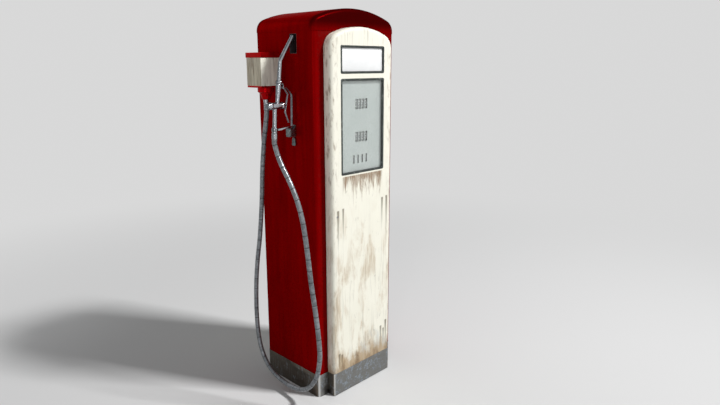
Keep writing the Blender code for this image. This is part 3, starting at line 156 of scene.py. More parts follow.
def rounded_path(corners: Sequence[Spot], radius: float, steps: int = 8) -> list[Vector]:
    """A path with each inner corner rounded by an arc.

    Args:
        corners: the corners, in two or three coordinates.
        radius: the arcs' radius.
        steps: chords in each arc.

    Returns:
        The path's points.
    """
    spots = [Vector(corner) for corner in corners]
    path = [spots[0]]
    for before, here, after in zip(spots, spots[1:], spots[2:]):
        back, ahead = (before - here).normalized(), (after - here).normalized()
        half = back.angle(ahead) / 2
        middle = here + (back + ahead).normalized() * (radius / math.sin(half))
        first, last = (here + way * (radius / math.tan(half)) - middle for way in (back, ahead))
        sweep = first.angle(last)
        for i in range(steps + 1):
            near, far = math.sin((1 - i / steps) * sweep), math.sin(i / steps * sweep)
            path.append(middle + (first * near + last * far) / math.sin(sweep))
    return [*path, spots[-1]]


def strip_outline(path: Sequence[Spot], thickness: float) -> list[Pair]:
    """The outline of a strip of even thickness along a flat path.

    Args:
        path: the strip's centre line, in two coordinates.
        thickness: its thickness.

    Returns:
        The closed outline's points.
    """
    spots = [Vector(point) for point in path]
    left, right = [], []
    for i, here in enumerate(spots):
        into = (here - spots[i - 1]).normalized() if i else (spots[1] - here).normalized()
        out = (spots[i + 1] - here).normalized() if i + 1 < len(spots) else into
        normal = Vector((-into.y - out.y, into.x + out.x)).normalized()
        reach = thickness / 2 / max(0.5, normal.dot(Vector((-into.y, into.x))))
        left.append(here + normal * reach)
        right.append(here - normal * reach)
    return [(point.x, point.y) for point in left + right[::-1]]


@dataclass(frozen=True)
class Crown:
    """The arched outline that the cover and the doors share."""

    half: float
    bottom: float
    top: float
    arch: float
    corner: float

    def inset(self, by: float) -> "Crown":
        """The same outline, moved inwards all round."""
        return Crown(self.half - by, self.bottom + by, self.top - by, self.arch - by, self.corner - by)

    def points(self, steps: int = 10) -> list[Pair]:
        """The outline, counter-clockwise.

        Args:
            steps: chords in each corner.

        Returns:
            The outline's points.
        """
        across, centre = self.half - self.corner, self.top - self.arch
        shoulder = centre + math.sqrt((self.arch - self.corner) ** 2 - across**2)
        meet = math.degrees(math.atan2(shoulder - centre, across))
        return [(-self.half, self.bottom), (self.half, self.bottom),
                *arc((across, shoulder), self.corner, 0, meet, steps),
                *arc((0, centre), self.arch, meet, 180 - meet, 4 * steps)[1:-1],
                *arc((-across, shoulder), self.corner, 180 - meet, 180, steps)]


def point_along(start: Spot, end: Spot, distance: float) -> Vector:
    """The point that far from start, towards end."""
    first, last = Vector(start), Vector(end)
    return first + (last - first).normalized() * distance


# ---------------------------------------------------------------- solids


def fresh(items: Iterable[object], kind: type) -> list:
    """Those items of an operator's result that are of one kind."""
    return [item for item in items if isinstance(item, kind)]


class Form:
    """A bmesh that operators shape into one solid."""

    def __init__(self) -> None:
        """Starts empty."""
        self.bm = bmesh.new()

    def pushed(self, faces: Sequence[bmesh.types.BMFace], way: Spot) -> "Form":
        """Pushes faces out by a vector."""
        grown = bmesh.ops.extrude_face_region(self.bm, geom=faces)["geom"]
        bmesh.ops.translate(self.bm, verts=fresh(grown, bmesh.types.BMVert), vec=way)
        return self

    @classmethod
    def prism(cls, outline: Sequence[Pair], axis: Axis, low: float, high: float) -> "Form":
        """Pushes an outline along an axis, from low to high."""
        form = cls()
        face = form.bm.faces.new([form.bm.verts.new(axis.place(u, v, low)) for u, v in outline])
        return form.pushed([face], axis.place(0, 0, high - low)).outward()

    @classmethod
    def ring(cls, outer: Sequence[Pair], inner: Sequence[Pair], axis: Axis, low: float, high: float) -> "Form":
        """A closed ring between two outlines that have as many points each."""
        form, rims = cls(), []
        for outline in (outer, inner):
            verts = [form.bm.verts.new(axis.place(u, v, low)) for u, v in outline]
            rims += [form.bm.edges.new(pair) for pair in zip(verts, verts[1:] + verts[:1])]
        faces = bmesh.ops.bridge_loops(form.bm, edges=rims)["faces"]
        return form.pushed(faces, axis.place(0, 0, high - low)).outward()

    @classmethod
    def block(cls, low: Spot, high: Spot) -> "Form":
        """A box between two corners."""
        form, first, last = cls(), Vector(low), Vector(high)
        bmesh.ops.create_cube(form.bm, size=1.0)
        bmesh.ops.scale(form.bm, verts=form.bm.verts, vec=last - first)
        bmesh.ops.translate(form.bm, verts=form.bm.verts, vec=(first + last) / 2)
        return form.outward()

    @classmethod
    def lathe(cls, profile: Sequence[Pair], origin: Spot, direction: Spot, steps: int = 48,
              bored: bool = False) -> "Form":
        """Turns a profile round a line.

        Args:
            profile: (radius, distance along the line) pairs.
            origin: a point on the line.
            direction: the line's direction.
            steps: sides of the round.
            bored: whether the profile closes on itself, away from the line.

        Returns:
            The turned solid.
        """
        form = cls()
        verts = [form.bm.verts.new((radius, 0, height)) for radius, height in profile]
        edges = [form.bm.edges.new(pair) for pair in zip(verts, verts[1:])]
        if bored:
            edges.append(form.bm.edges.new((verts[-1], verts[0])))
        bmesh.ops.spin(form.bm, geom=verts + edges, axis=(0, 0, 1), cent=(0, 0, 0), angle=math.tau,
                       steps=steps, use_merge=True)
        bmesh.ops.remove_doubles(form.bm, verts=form.bm.verts, dist=TINY)
        turn = UP.rotation_difference(Vector(direction)).to_matrix().to_4x4()
        bmesh.ops.transform(form.bm, matrix=Matrix.Translation(Vector(origin)) @ turn, verts=form.bm.verts)
        return form.outward()

    @classmethod
    def rod(cls, start: Spot, end: Spot, radius: float, steps: int = 32) -> "Form":
        """A round bar between two points."""
        first, last = Vector(start), Vector(end)
        length = (last - first).length
        return cls.lathe([(0, 0), (radius, 0), (radius, length), (0, length)], first, last - first, steps)

    @classmethod
    def sweep(cls, path: Sequence[Vector], radii: Sequence[float], sides: int = 24) -> "Form":
        """A round bar that follows a path, ring by ring.

        Args:
            path: the centre line.
            radii: the radius at each of its points.
            sides: sides of each ring.

        Returns:
            The bar, with closed ends.
        """
        form = cls()
        heading = (path[1] - path[0]).normalized()
        turn = UP.rotation_difference(heading)
        ring = list(bmesh.ops.create_circle(form.bm, cap_ends=True, segments=sides, radius=1.0)["verts"])
        offsets = [vert.co.copy() for vert in ring]
        edges = list({edge for vert in ring for edge in vert.link_edges})
        for i, spot in enumerate(path):
            if i:
                course = (path[min(i + 1, len(path) - 1)] - path[i - 1]).normalized()
                turn = heading.rotation_difference(course) @ turn
                heading = course
                grown = bmesh.ops.extrude_edge_only(form.bm, edges=edges)["geom"]
                edges, new = fresh(grown, bmesh.types.BMEdge), set(fresh(grown, bmesh.types.BMVert))
                ring = [next(edge.other_vert(vert) for edge in vert.link_edges if edge.other_vert(vert) in new)
                        for vert in ring]
            for vert, offset in zip(ring, offsets):
                vert.co = spot + turn @ (offset * radii[i])
        form.bm.faces.new(ring)
        return form.outward()

    @classmethod
    def copy_of(cls, node: str) -> "Form":
        """A CAD node's mesh with its loose triangles merged and its flat faces made whole."""
        form = cls()
        form.bm.from_mesh(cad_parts[node].data)
        bmesh.ops.remove_doubles(form.bm, verts=form.bm.verts, dist=2 * TINY)
        bmesh.ops.dissolve_degenerate(form.bm, edges=form.bm.edges, dist=2 * TINY)
        bmesh.ops.dissolve_limit(form.bm, angle_limit=math.radians(0.6), verts=form.bm.verts,
                                 edges=form.bm.edges, use_dissolve_boundaries=False)
        for layer in list(form.bm.loops.layers.uv):
            form.bm.loops.layers.uv.remove(layer)
        return form

    def absorb(self, other: "Form") -> None:
        """Takes another form's solids in as well."""
        spare = bpy.data.meshes.new("spare")
        other.bm.to_mesh(spare)
        other.bm.free()
        self.bm.from_mesh(spare)
        bpy.data.meshes.remove(spare)

    def outward(self) -> "Form":
        """Points every face out."""
        bmesh.ops.recalc_face_normals(self.bm, faces=self.bm.faces)
        if self.bm.calc_volume(signed=True) < 0:
            bmesh.ops.reverse_faces(self.bm, faces=self.bm.faces)
        return self

    def soften(self, width: float, segments: int = 2, above: float = 60.0) -> "Form":
        """Rounds the edges that turn more than some degrees.

        Args:
            width: the bevel's width.
            segments: steps across it.
            above: the smallest turn that is rounded.

        Returns:
            The form itself.
        """
        edges = [edge for edge in self.bm.edges
                 if len(edge.link_faces) == 2 and edge.calc_face_angle(0.0) > math.radians(above)]
        if edges:
            bmesh.ops.bevel(self.bm, geom=edges, offset=width, offset_type="OFFSET", segments=segments,
                            profile=0.5, affect="EDGES", clamp_overlap=True, material=-1)
        return self

    def piece(self, name: str, dress: "Finish", body: str, stands_for: Iterable[str] = (),
              sharp: float = 32.0) -> Object:
        """Makes the form a finished piece that rides on a body."""
        return mount_piece(self.object(name), dress, body, stands_for, sharp)

    def object(self, name: str) -> Object:
        """Makes the form a plain object."""
        mesh = bpy.data.meshes.new(name)
        self.bm.to_mesh(mesh)
        self.bm.free()
        made = bpy.data.objects.new(name, mesh)
        bpy.context.scene.collection.objects.link(made)
        return made


def dress_up(made: Object, dress: "Finish", sharp: float) -> None:
    """Smooths an object and gives it its finish."""
    mesh = made.data
    mesh.shade_smooth()
    mesh.set_sharp_from_angle(angle=math.radians(sharp))
    mesh.materials.clear()
    mesh.materials.append(dress.material())


def mount_piece(made: Object, dress: "Finish", body: str, stands_for: Iterable[str] = (),
                sharp: float = 32.0) -> Object:
    """Dresses an object and lets it ride on a body.

    Args:
        made: the object.
        dress: its finish.
        body: the CAD body it moves with.
        stands_for: CAD nodes that it replaces.
        sharp: edges that turn more than this many degrees stay sharp.

    Returns:
        The same object.
    """
    dress_up(made, dress, sharp)
    if stands_for:
        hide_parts(*stands_for)
    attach(made, body)
    log.info("%s: %d faces, on %s", made.name, len(made.data.polygons), body)
    return made


def ease_node(node: str, name: str, dress: "Finish", body: str, width: float, above: float = 60.0,
              sharp: float = 32.0) -> None:
    """Finishes a CAD node's own form with eased edges."""
    Form.copy_of(node).soften(width, 2, above).piece(name, dress, body, [node], sharp)


class Join(Enum):
    """What a Boolean does with its tool."""

    CUT = "DIFFERENCE"
    WELD = "UNION"


def settle(made: Object) -> Object:
    """Makes what an object's modifiers show its own mesh."""
    mesh = bpy.data.meshes.new_from_object(made.evaluated_get(bpy.context.evaluated_depsgraph_get()))
    made.modifiers.clear()
    made.data = mesh
    return made


def carve(target: Object, tools: Sequence[Object], join: Join) -> Object:
    """Cuts or welds tools into an object and removes them.

    Args:
        target: the object that stays.
        tools: the objects that are used up.
        join: cut or weld.

    Returns:
        The target, with its mesh changed.
    """
    for tool in tools:
        modifier = target.modifiers.new(tool.name, "BOOLEAN")
        modifier.operation, modifier.object, modifier.solver = join.value, tool, "EXACT"
    settle(target)
    for tool in tools:
        bpy.data.objects.remove(tool)
    return target


def melt(made: Object, voxel: float, smoothing: int) -> Object:
    """Remeshes an object finely and smooths it, so that its joins get soft fillets.

    Args:
        made: the object.
        voxel: the remesh's cell size.
        smoothing: how often it is smoothed.

    Returns:
        The same object.
    """
    remesh = made.modifiers.new("remesh", "REMESH")
    remesh.mode, remesh.voxel_size = "VOXEL", voxel
    relax = made.modifiers.new("relax", "SMOOTH")
    relax.iterations, relax.factor = smoothing, 0.5
    return settle(made)


# ---------------------------------------------------------------- node graphs


class Graph:
    """Adds nodes to one material or node group."""

    def __init__(self, tree: bpy.types.NodeTree, spot: Socket | None = None) -> None:
        """Works on this tree, with this position, or else with where a point is on the object."""
        self.tree = tree
        self.spot = self.node("TexCoord").outputs["Object"] if spot is None else spot

    def feed(self, socket: Socket, value: object) -> None:
        """Links a socket to another, or sets its value."""
        if value is None:
            return
        if isinstance(value, bpy.types.NodeSocket):
            self.tree.links.new(value, socket)
        elif isinstance(value, tuple) and len(value) == 3 and socket.type == "RGBA":
            socket.default_value = (*value, 1.0)
        else:
            socket.default_value = value

    def node(self, kind: str, inputs: dict | None = None, **settings: object) -> bpy.types.Node:
        """Adds a node.

        Args:
            kind: the node's type, without its common start.
            inputs: values or sockets for its inputs, by name or index.
            settings: its other settings.

        Returns:
            The node.
        """
        made = self.tree.nodes.new("ShaderNode" + kind)
        for key, value in settings.items():
            setattr(made, key, value)
        for key, value in (inputs or {}).items():
            self.feed(made.inputs[key], value)
        return made

    def math(self, operation: str, a: object, b: object = None, clamp: bool = False) -> Socket:
        """One sum of numbers."""
        return self.node("Math", {0: a, 1: b}, operation=operation, use_clamp=clamp).outputs[0]

    def times(self, *values: object) -> Socket:
        """The product of several numbers."""
        return reduce(lambda a, b: self.math("MULTIPLY", a, b), values)

    def add(self, *values: object) -> Socket:
        """The sum of several numbers, held between 0 and 1."""
        return reduce(lambda a, b: self.math("ADD", a, b, clamp=True), values)

    def rest(self, value: Socket) -> Socket:
        """What is missing from 1."""
        return self.math("SUBTRACT", 1.0, value)

    def plain(self, value: Socket) -> Socket:
        """A number without its sign."""
        return self.math("ABSOLUTE", value)

    def span(self, value: object, low: object, high: object, to_low: float = 0.0, to_high: float = 1.0,
             smooth: bool = True) -> Socket:
        """Maps a number from one range to another, held at its ends."""
        limits = {"Value": value, "From Min": low, "From Max": high, "To Min": to_low, "To Max": to_high}
        kind = "SMOOTHSTEP" if smooth else "LINEAR"
        return self.node("MapRange", limits, interpolation_type=kind, clamp=True).outputs["Result"]

    def level(self, mask: Socket, low: float, high: float) -> Socket:
        """A mask mapped smoothly to a range of its own."""
        return self.span(mask, 0.0, 1.0, low, high)

    def blend(self, factor: object, a: object, b: object) -> Socket:
        """Mixes two colours."""
        return self.node("Mix", {0: factor, 6: a, 7: b}, data_type="RGBA", clamp_factor=True).outputs[2]

    def lay(self, colour: object, *coats: "Coat") -> Socket:
        """Lays coats over a colour.

        Args:
            colour: what is under them.
            coats: each one's mask, how much of it shows, and its colour.

        Returns:
            The colour on top.
        """
        for mask, strength, tint in coats:
            colour = self.blend(self.times(mask, strength), colour, tint)
        return colour

    def stretch(self, scale: Triple, offset: Triple = (0, 0, 0)) -> Socket:
        """The position, scaled on each axis."""
        return self.node("Mapping", {"Vector": self.spot, "Location": offset, "Scale": scale}).outputs[0]

    def noise(self, scale: object, detail: float = 4.0, rough: float = 0.55, distort: float = 0.0,
              at: Socket | None = None) -> Socket:
        """Fractal noise between 0 and 1."""
        inputs = {"Vector": self.spot if at is None else at, "Scale": scale, "Detail": detail, "Roughness": rough,
                  "Distortion": distort}
        return self.node("TexNoise", inputs).outputs["Fac"]

    def drawn(self, scale: Triple, detail: float, rough: float = 0.55, distort: float = 0.0) -> Socket:
        """Noise with a scale of its own on each axis."""
        return self.noise(1.0, detail, rough, distort, self.stretch(scale))

    def scaled(self, across: Socket, along: Socket) -> Socket:
        """The position, scaled level and upright by two sliders."""
        scale = self.node("CombineXYZ", {0: across, 1: across, 2: along}).outputs[0]
        return self.node("VectorMath", {0: self.spot, 1: scale}, operation="MULTIPLY").outputs[0]

    def parts(self, vector: Socket | None = None) -> tuple[Socket, Socket, Socket]:
        """The three coordinates of the position, or of another vector."""
        made = self.node("SeparateXYZ", {0: self.spot if vector is None else vector})
        return made.outputs[0], made.outputs[1], made.outputs[2]

    def facing(self, axis: int) -> Socket:
        """How far the surface faces along an axis."""
        return self.parts(self.node("NewGeometry").outputs["Normal"])[axis]

    def mask(self, effect: "Effect", **inputs: object) -> Socket:
        """Places a shared effect and returns its mask."""
        made = self.tree.nodes.new("ShaderNodeGroup")
        made.node_tree = effect.tree()
        for key, value in {"position": self.spot, **inputs}.items():
            self.feed(made.inputs[key.replace("_", " ").title()], value)
        return made.outputs[0]


class Effect:
    """A shared surface effect: a node group that puts out one mask."""

    title = "effect"
    sliders: tuple[tuple[str, float], ...] = ()

    def tree(self) -> bpy.types.NodeTree:
        """The group, built once."""
        found = bpy.data.node_groups.get(self.title)
        if found:
            return found
        made = bpy.data.node_groups.new(self.title, "ShaderNodeTree")
        made.interface.new_socket("Position", in_out="INPUT", socket_type="NodeSocketVector")
        for name, value in self.sliders:
            made.interface.new_socket(name, in_out="INPUT", socket_type="NodeSocketFloat").default_value = value
        made.interface.new_socket("Mask", in_out="OUTPUT", socket_type="NodeSocketFloat")
        entry = made.nodes.new("NodeGroupInput").outputs
        exit_node = made.nodes.new("NodeGroupOutput")
        sliders = [entry[name] for name, _ in self.sliders]
        made.links.new(self.draw(Graph(made, entry["Position"]), *sliders), exit_node.inputs[0])
        return made

    def draw(self, graph: Graph, *sliders: Socket) -> Socket:
        """Builds the mask."""
        raise NotImplementedError


class Blotches(Effect):
    """Soft uneven patches."""

    title = "blotches"
    sliders = (("Scale", 6.0), ("Low", 0.4), ("High", 0.65))

    def draw(self, graph: Graph, scale: Socket, low: Socket, high: Socket) -> Socket:
        """Noise held between two levels."""
        return graph.span(graph.noise(scale, 6.0, 0.6, 0.3), low, high)


class Runs(Effect):
    """Streaks that run straight down, as water and rust leave them."""

    title = "runs"
    sliders = (("Width", 60.0), ("Length", 3.0), ("Low", 0.5), ("High", 0.7))

    def draw(self, graph: Graph, width: Socket, length: Socket, low: Socket, high: Socket) -> Socket:
        """Noise drawn out along the vertical, broken up by a finer one."""
        at = graph.scaled(width, length)
        broad, fine = graph.noise(1.0, 5.0, 0.6, 0.2, at), graph.noise(2.7, 3.0, 0.5, at=at)
        return graph.span(graph.math("ADD", graph.times(broad, 0.7), graph.times(fine, 0.3)), low, high)


class Scratches(Effect):
    """Short thin lines in two directions, here and there."""

    title = "scratches"
    sliders = (("Scale", 30.0), ("Thickness", 0.02), ("Amount", 0.5))

    def draw(self, graph: Graph, scale: Socket, thickness: Socket, amount: Socket) -> Socket:
        """Borders of stretched cells, shown where a noise is high."""
        lines = []
        for turn, offset in ((0.5, 0.0), (-0.9, 4.0)):
            turned = graph.node("Mapping", {"Vector": graph.spot, "Rotation": (turn, turn * 0.7, turn),
                                            "Location": (offset, offset, offset), "Scale": (1.0, 1.0, 0.12)})
            cells = graph.node("TexVoronoi", {"Vector": turned.outputs[0], "Scale": scale}, feature="DISTANCE_TO_EDGE")
            lines.append(graph.math("LESS_THAN", cells.outputs["Distance"], thickness))
        shown = graph.noise(graph.times(scale, 0.6), 3.0)
        start = graph.rest(graph.times(amount, 0.6))
        return graph.times(graph.math("MAXIMUM", *lines), graph.span(shown, start, graph.math("ADD", start, 0.08)))


class EdgeWear(Effect):
    """Where corners stand out and wear, broken up by noise."""

    title = "edge wear"
    sliders = (("Start", 0.52), ("End", 0.62), ("Breakup", 80.0))

    def draw(self, graph: Graph, start: Socket, end: Socket, breakup: Socket) -> Socket:
        """Pointed places, less where the noise is low."""
        corner = graph.node("NewGeometry").outputs["Pointiness"]
        ragged = graph.times(graph.math("SUBTRACT", graph.noise(breakup, 4.0), 0.5), 0.12)
        return graph.span(graph.math("ADD", corner, ragged), start, end)


class Band(Effect):
    """One inside a height range and fading to nothing past its ends."""

    title = "height band"
    sliders = (("Bottom", 0.0), ("Top", 1.0), ("Fade Below", 0.05), ("Fade Above", 0.05))

    def draw(self, graph: Graph, bottom: Socket, top: Socket, below: Socket, above: Socket) -> Socket:
        """The product of a rise and a fall."""
        z = graph.parts()[2]
        rise = graph.span(z, graph.math("SUBTRACT", bottom, below), bottom)
        return graph.times(rise, graph.rest(graph.span(z, top, graph.math("ADD", top, above))))


class Drip(Effect):
    """One narrow run that starts at a point and thins out as it falls."""

    title = "drip"
    sliders = (("Across", 0.0), ("Start", 1.0), ("Length", 0.15), ("Width", 0.01))

    def draw(self, graph: Graph, across: Socket, start: Socket, length: Socket, width: Socket) -> Socket:
        """A soft stripe times its fall, roughened along its length."""
        x, _, z = graph.parts()
        shift = graph.times(graph.math("SUBTRACT", graph.drawn((30.0, 30.0, 9.0), 3.0), 0.5), 0.006)
        aside = graph.plain(graph.math("ADD", graph.math("SUBTRACT", x, across), shift))
        below = graph.math("SUBTRACT", start, z)
        fade = graph.rest(graph.span(below, 0.0, length, smooth=False))
        half = graph.times(width, graph.math("ADD", fade, 0.25))
        stripe = graph.rest(graph.span(aside, graph.times(half, 0.25), half))
        return graph.times(stripe, graph.span(below, -0.003, 0.003), fade)


class Creep(Effect):
    """Dirt that is thick at a level and breaks up with distance from it."""

    title = "creep"
    sliders = (("Level", 1.0), ("Reach", 0.1), ("Across", 40.0), ("Along", 12.0), ("Near", 0.42), ("Far", 0.75),
               ("Soft", 0.12))

    def draw(self, graph: Graph, level: Socket, reach: Socket, across: Socket, along: Socket, near: Socket,
             far: Socket, soft: Socket) -> Socket:
        """Noise drawn downwards, over a limit that climbs with distance; reach is negative to go up."""
        away = graph.math("DIVIDE", graph.math("SUBTRACT", level, graph.parts()[2]), reach)
        clouds = graph.noise(1.0, 8.0, 0.66, 0.4, graph.scaled(across, along))
        limit = graph.span(away, 0.0, 1.0, near, far, smooth=False)
        mask = graph.span(clouds, limit, graph.math("ADD", limit, soft))
        return graph.times(mask, graph.math("GREATER_THAN", away, 0.0), graph.math("LESS_THAN", away, 1.0))


BLOTCHES, RUNS, SCRATCHES = Blotches(), Runs(), Scratches()
EDGE_WEAR, BAND, DRIP, CREEP = EdgeWear(), Band(), Drip(), Creep()


# ---------------------------------------------------------------- finishes


@dataclass(frozen=True)
class Finish:
    """What a surface is made of. Each kind draws its own nodes."""

    name: str
    slot: str = ""

    def material(self) -> bpy.types.Material:
        """The material, built once."""
        found = bpy.data.materials.get(self.name)
        if found:
            return found
        made = bpy.data.materials.new(self.name)
        made.use_nodes = True
        graph = Graph(made.node_tree)
        for name, value in self.dress(graph).items():
            graph.feed(made.node_tree.nodes["Principled BSDF"].inputs[name], value)
        return made

    def dress(self, graph: Graph) -> dict[str, object]:
        """Builds what goes into the shader's inputs, by their names."""
        raise NotImplementedError

    @staticmethod
    def bump(graph: Graph, height: Socket, strength: float, depth: float) -> Socket:
        """A normal raised by a height."""
        return graph.node("Bump", {"Height": height, "Strength": strength, "Distance": depth}).outputs[0]


@dataclass(frozen=True)
class RedEnamel(Finish):
    """Deep red stoved paint, a little streaked, thin at the corners, with painted shade on the gables."""

    colour: Colour = (0.255, 0.0006, 0.0010)
    faded: Colour = (0.150, 0.0003, 0.0006)
    primer: Colour = (0.07, 0.03, 0.025)
    # shade is painted shade for the gables above the doors
    shade: Colour = (0.036, 0.0006, 0.0008)
    tint: Colour = (0.45, 0.01, 0.01)
    sheen: float = 0.0
    smooth: float = 0.24
    rough: float = 0.34
    flake: float = 0.28
    # crown and ends place the painted gable shade
    crown: Pair = (1.86, 1.93)
    ends: Pair = (0.176, 0.210)

    def dress(self, graph: Graph) -> dict[str, object]:
        """Two reds streaked together, with painted shade on the gables, worn corners and a fine ripple."""
        _, y, z = graph.parts()
        colour = graph.lay(
            self.colour,
            (graph.mask(RUNS, width=26.0, length=1.6, low=0.42, high=0.62), 0.45, self.faded),
            (graph.mask(BLOTCHES, scale=3.2, low=0.35, high=0.7), 0.35, self.faded),
            # painted shade: the gable faces above the doors, darkened from the crown up
            (graph.times(graph.span(graph.plain(y), *self.ends), graph.span(z, *self.crown)), 0.92, self.shade),
            (graph.mask(EDGE_WEAR, start=0.60, end=0.72, breakup=90.0), 0.55, self.primer),
            (graph.mask(BLOTCHES, scale=160.0, low=0.70, high=0.76), 0.5, self.primer),
        )
        return {"Base Color": colour, "Metallic": self.flake, "Specular IOR Level": self.sheen,
                "Specular Tint": self.tint,
                "Roughness": graph.span(graph.noise(9.0, 5.0), 0.3, 0.7, self.smooth, self.rough),
                "Normal": self.bump(graph, graph.noise(55.0, 2.0), 0.12, 0.0004)}


@dataclass(frozen=True)
class DoorEnamel(Finish):
    """Cream paint with rust below the dial, old bolt drips and dirt that thickens downwards."""

    cream: Colour = (0.90, 0.88, 0.77)
    chalk: Colour = (0.82, 0.80, 0.68)
    rust: Colour = (0.23, 0.125, 0.055)
    dark_rust: Colour = (0.11, 0.085, 0.045)
    tan: Colour = (0.46, 0.33, 0.19)
    soil: Colour = (0.20, 0.165, 0.115)
    umber: Colour = (0.21, 0.13, 0.065)
    grey: Colour = (0.47, 0.51, 0.52)
    bottom: float = 0.128
    dial_foot: float = 1.182
    dial_half: Pair = (0.130, 0.152)
    side: Pair = (0.161, 0.206)
    hand_height: Pair = (1.0, 1.35)
    drips: tuple[tuple[float, float, float, float], ...] = (
        (-0.178, 1.016, 0.24, 0.0100), (-0.143, 1.022, 0.19, 0.0080), (0.146, 1.035, 0.20, 0.0095),
        (0.180, 1.040, 0.28, 0.0095), (-0.176, 0.235, 0.11, 0.0085), (-0.158, 0.225, 0.10, 0.0075),
        (0.143, 0.290, 0.16, 0.0090), (0.184, 0.315, 0.19, 0.0095), (0.165, 0.270, 0.14, 0.0075),
    )

    def dress(self, graph: Graph) -> dict[str, object]:
        """Paint, then dirt, stains, drips and scratches, one over the other."""
        lines = graph.mask(SCRATCHES, scale=26.0, thickness=0.012, amount=0.7)
        colour = graph.lay(
            self.cream,
            (graph.mask(BLOTCHES, scale=5.0, low=0.35, high=0.75), 0.4, self.chalk),
            (self.smears(graph), 0.62, self.tan),
            (*self.thin_runs(graph), self.soil),
            *self.foot(graph),
            *self.dial_rust(graph),
            (self.bolt_drips(graph), 0.80, self.dark_rust),
            (*self.edge_dirt(graph), self.umber),
            (graph.mask(BLOTCHES, scale=120.0, low=0.70, high=0.76), 0.6, self.rust),
            (lines, 0.3, self.soil),
        )
        height = graph.math("SUBTRACT", graph.times(graph.noise(45.0, 3.0), 0.3), graph.times(lines, 0.5))
        return {"Base Color": colour, "Specular IOR Level": 0.3,
                "Roughness": graph.span(graph.noise(12.0, 5.0), 0.3, 0.7, 0.42, 0.62),
                "Normal": self.bump(graph, height, 0.25, 0.0005)}

    def smears(self, graph: Graph) -> Socket:
        """Soft tan smears down the lower half, made of fine streaks."""
        cloud = graph.drawn((13.0, 13.0, 4.5), 6.0, 0.62, 0.4)
        streak = graph.mask(RUNS, width=85.0, length=7.0, low=0.36, high=0.60)
        lower = graph.mask(BAND, bottom=self.bottom, top=0.80, fade_below=0.01, fade_above=0.28)
        return graph.times(graph.span(cloud, 0.47, 0.66), graph.level(streak, 0.3, 1.0), lower)

    def thin_runs(self, graph: Graph) -> tuple[Socket, Socket]:
        """Thin dark runs all over, and how much they show: most at the crown and low down."""
        thin = graph.mask(RUNS, width=95.0, length=4.0, low=0.52, high=0.68)
        crown = graph.mask(BAND, bottom=1.86, top=2.0, fade_below=0.09, fade_above=0.1)
        lower = graph.mask(BAND, bottom=self.bottom, top=0.60, fade_below=0.01, fade_above=0.45)
        return thin, graph.add(graph.times(crown, 0.34), graph.times(lower, 0.26), 0.07)

    def foot(self, graph: Graph) -> list["Coat"]:
        """Grey, then brown dirt that creeps up from the foot of the door."""
        moved = graph.stretch((1.0, 1.0, 1.0), (0.37, 0.0, 0.0))
        coats = (
            (graph.spot, -0.26, 9.0, 3.0, 0.34, 0.70, 0.55, self.grey),
            (moved, -0.27, 11.0, 4.0, 0.30, 0.72, 0.85, self.tan),
            (moved, -0.18, 14.0, 6.0, 0.38, 0.72, 0.80, self.umber),
        )
        return [(graph.mask(CREEP, position=spot, level=self.bottom, reach=reach, across=across, along=along,
                            near=near, far=far, soft=0.20), strength, tint)
                for spot, reach, across, along, near, far, strength, tint in coats]

    def dial_rust(self, graph: Graph) -> list["Coat"]:
        """Rust that has washed down from the dial's lower edge, on the front door only."""
        x, y, _ = graph.parts()
        under = graph.times(graph.rest(graph.span(graph.plain(x), *self.dial_half)), graph.math("LESS_THAN", y, 0.0))
        wash = graph.mask(CREEP, level=self.dial_foot, reach=0.19, across=52.0, along=6.5, near=0.30, far=0.68,
                          soft=0.18)
        streak = graph.mask(RUNS, width=150.0, length=9.0, low=0.40, high=0.56)
        core = graph.mask(CREEP, level=self.dial_foot, reach=0.10, across=30.0, along=20.0, near=0.46, far=0.70,
                          soft=0.14)
        return [(graph.times(wash, under), graph.level(streak, 0.45, 0.85), self.rust),
                (graph.times(core, under), 0.55, self.umber)]

    def bolt_drips(self, graph: Graph) -> Socket:
        """Drips where bolts once rusted."""
        masks = [graph.mask(DRIP, across=across, start=start, length=length, width=width)
                 for across, start, length, width in self.drips]
        return reduce(lambda a, b: graph.math("MAXIMUM", a, b), masks)

    def edge_dirt(self, graph: Graph) -> tuple[Socket, Socket]:
        """Dirt worked into the long side edges, and how much of it shows: most at hand height."""
        x, _, z = graph.parts()
        patch = graph.drawn((60.0, 60.0, 14.0), 6.0, 0.65)
        near = graph.times(graph.span(graph.plain(x), *self.side), graph.span(patch, 0.50, 0.66))
        return near, graph.span(z, *self.hand_height, 0.25, 0.70)


@dataclass(frozen=True)
class BoxEnamel(Finish):
    """Cream paint of the outlet box, heavily streaked from top to bottom, most on its sides, with painted shade that
    makes its side faces darker than its front.
    """

    # cream is the side faces' darker copy of bright: painted shade
    cream: Colour = (0.56, 0.51, 0.39)
    bright: Colour = (0.90, 0.89, 0.78)
    soil: Colour = (0.150, 0.090, 0.045)
    grey: Colour = (0.29, 0.245, 0.170)

    def dress(self, graph: Graph) -> dict[str, object]:
        """A light front and a darker cream on the side faces as painted shade, with broad grey and narrow brown runs
        over them.
        """
        narrow = graph.mask(RUNS, width=95.0, length=6.0, low=0.50, high=0.64)
        # painted shade: faces that look along X take the darker cream; the runs are dirt, heavier there
        side = graph.span(graph.plain(graph.facing(0)), 0.4, 0.9)
        colour = graph.lay(
            self.bright,
            (side, 1.0, self.cream),
            (graph.mask(RUNS, width=40.0, length=3.5, low=0.42, high=0.60), graph.level(side, 0.25, 0.80), self.grey),
            (narrow, graph.level(side, 0.50, 0.85), self.soil),
            (graph.mask(EDGE_WEAR, start=0.56, end=0.66, breakup=120.0), 0.5, self.soil),
        )
        return {"Base Color": colour, "Roughness": graph.level(narrow, 0.42, 0.62),
                "Normal": self.bump(graph, graph.noise(70.0, 3.0), 0.2, 0.0004)}


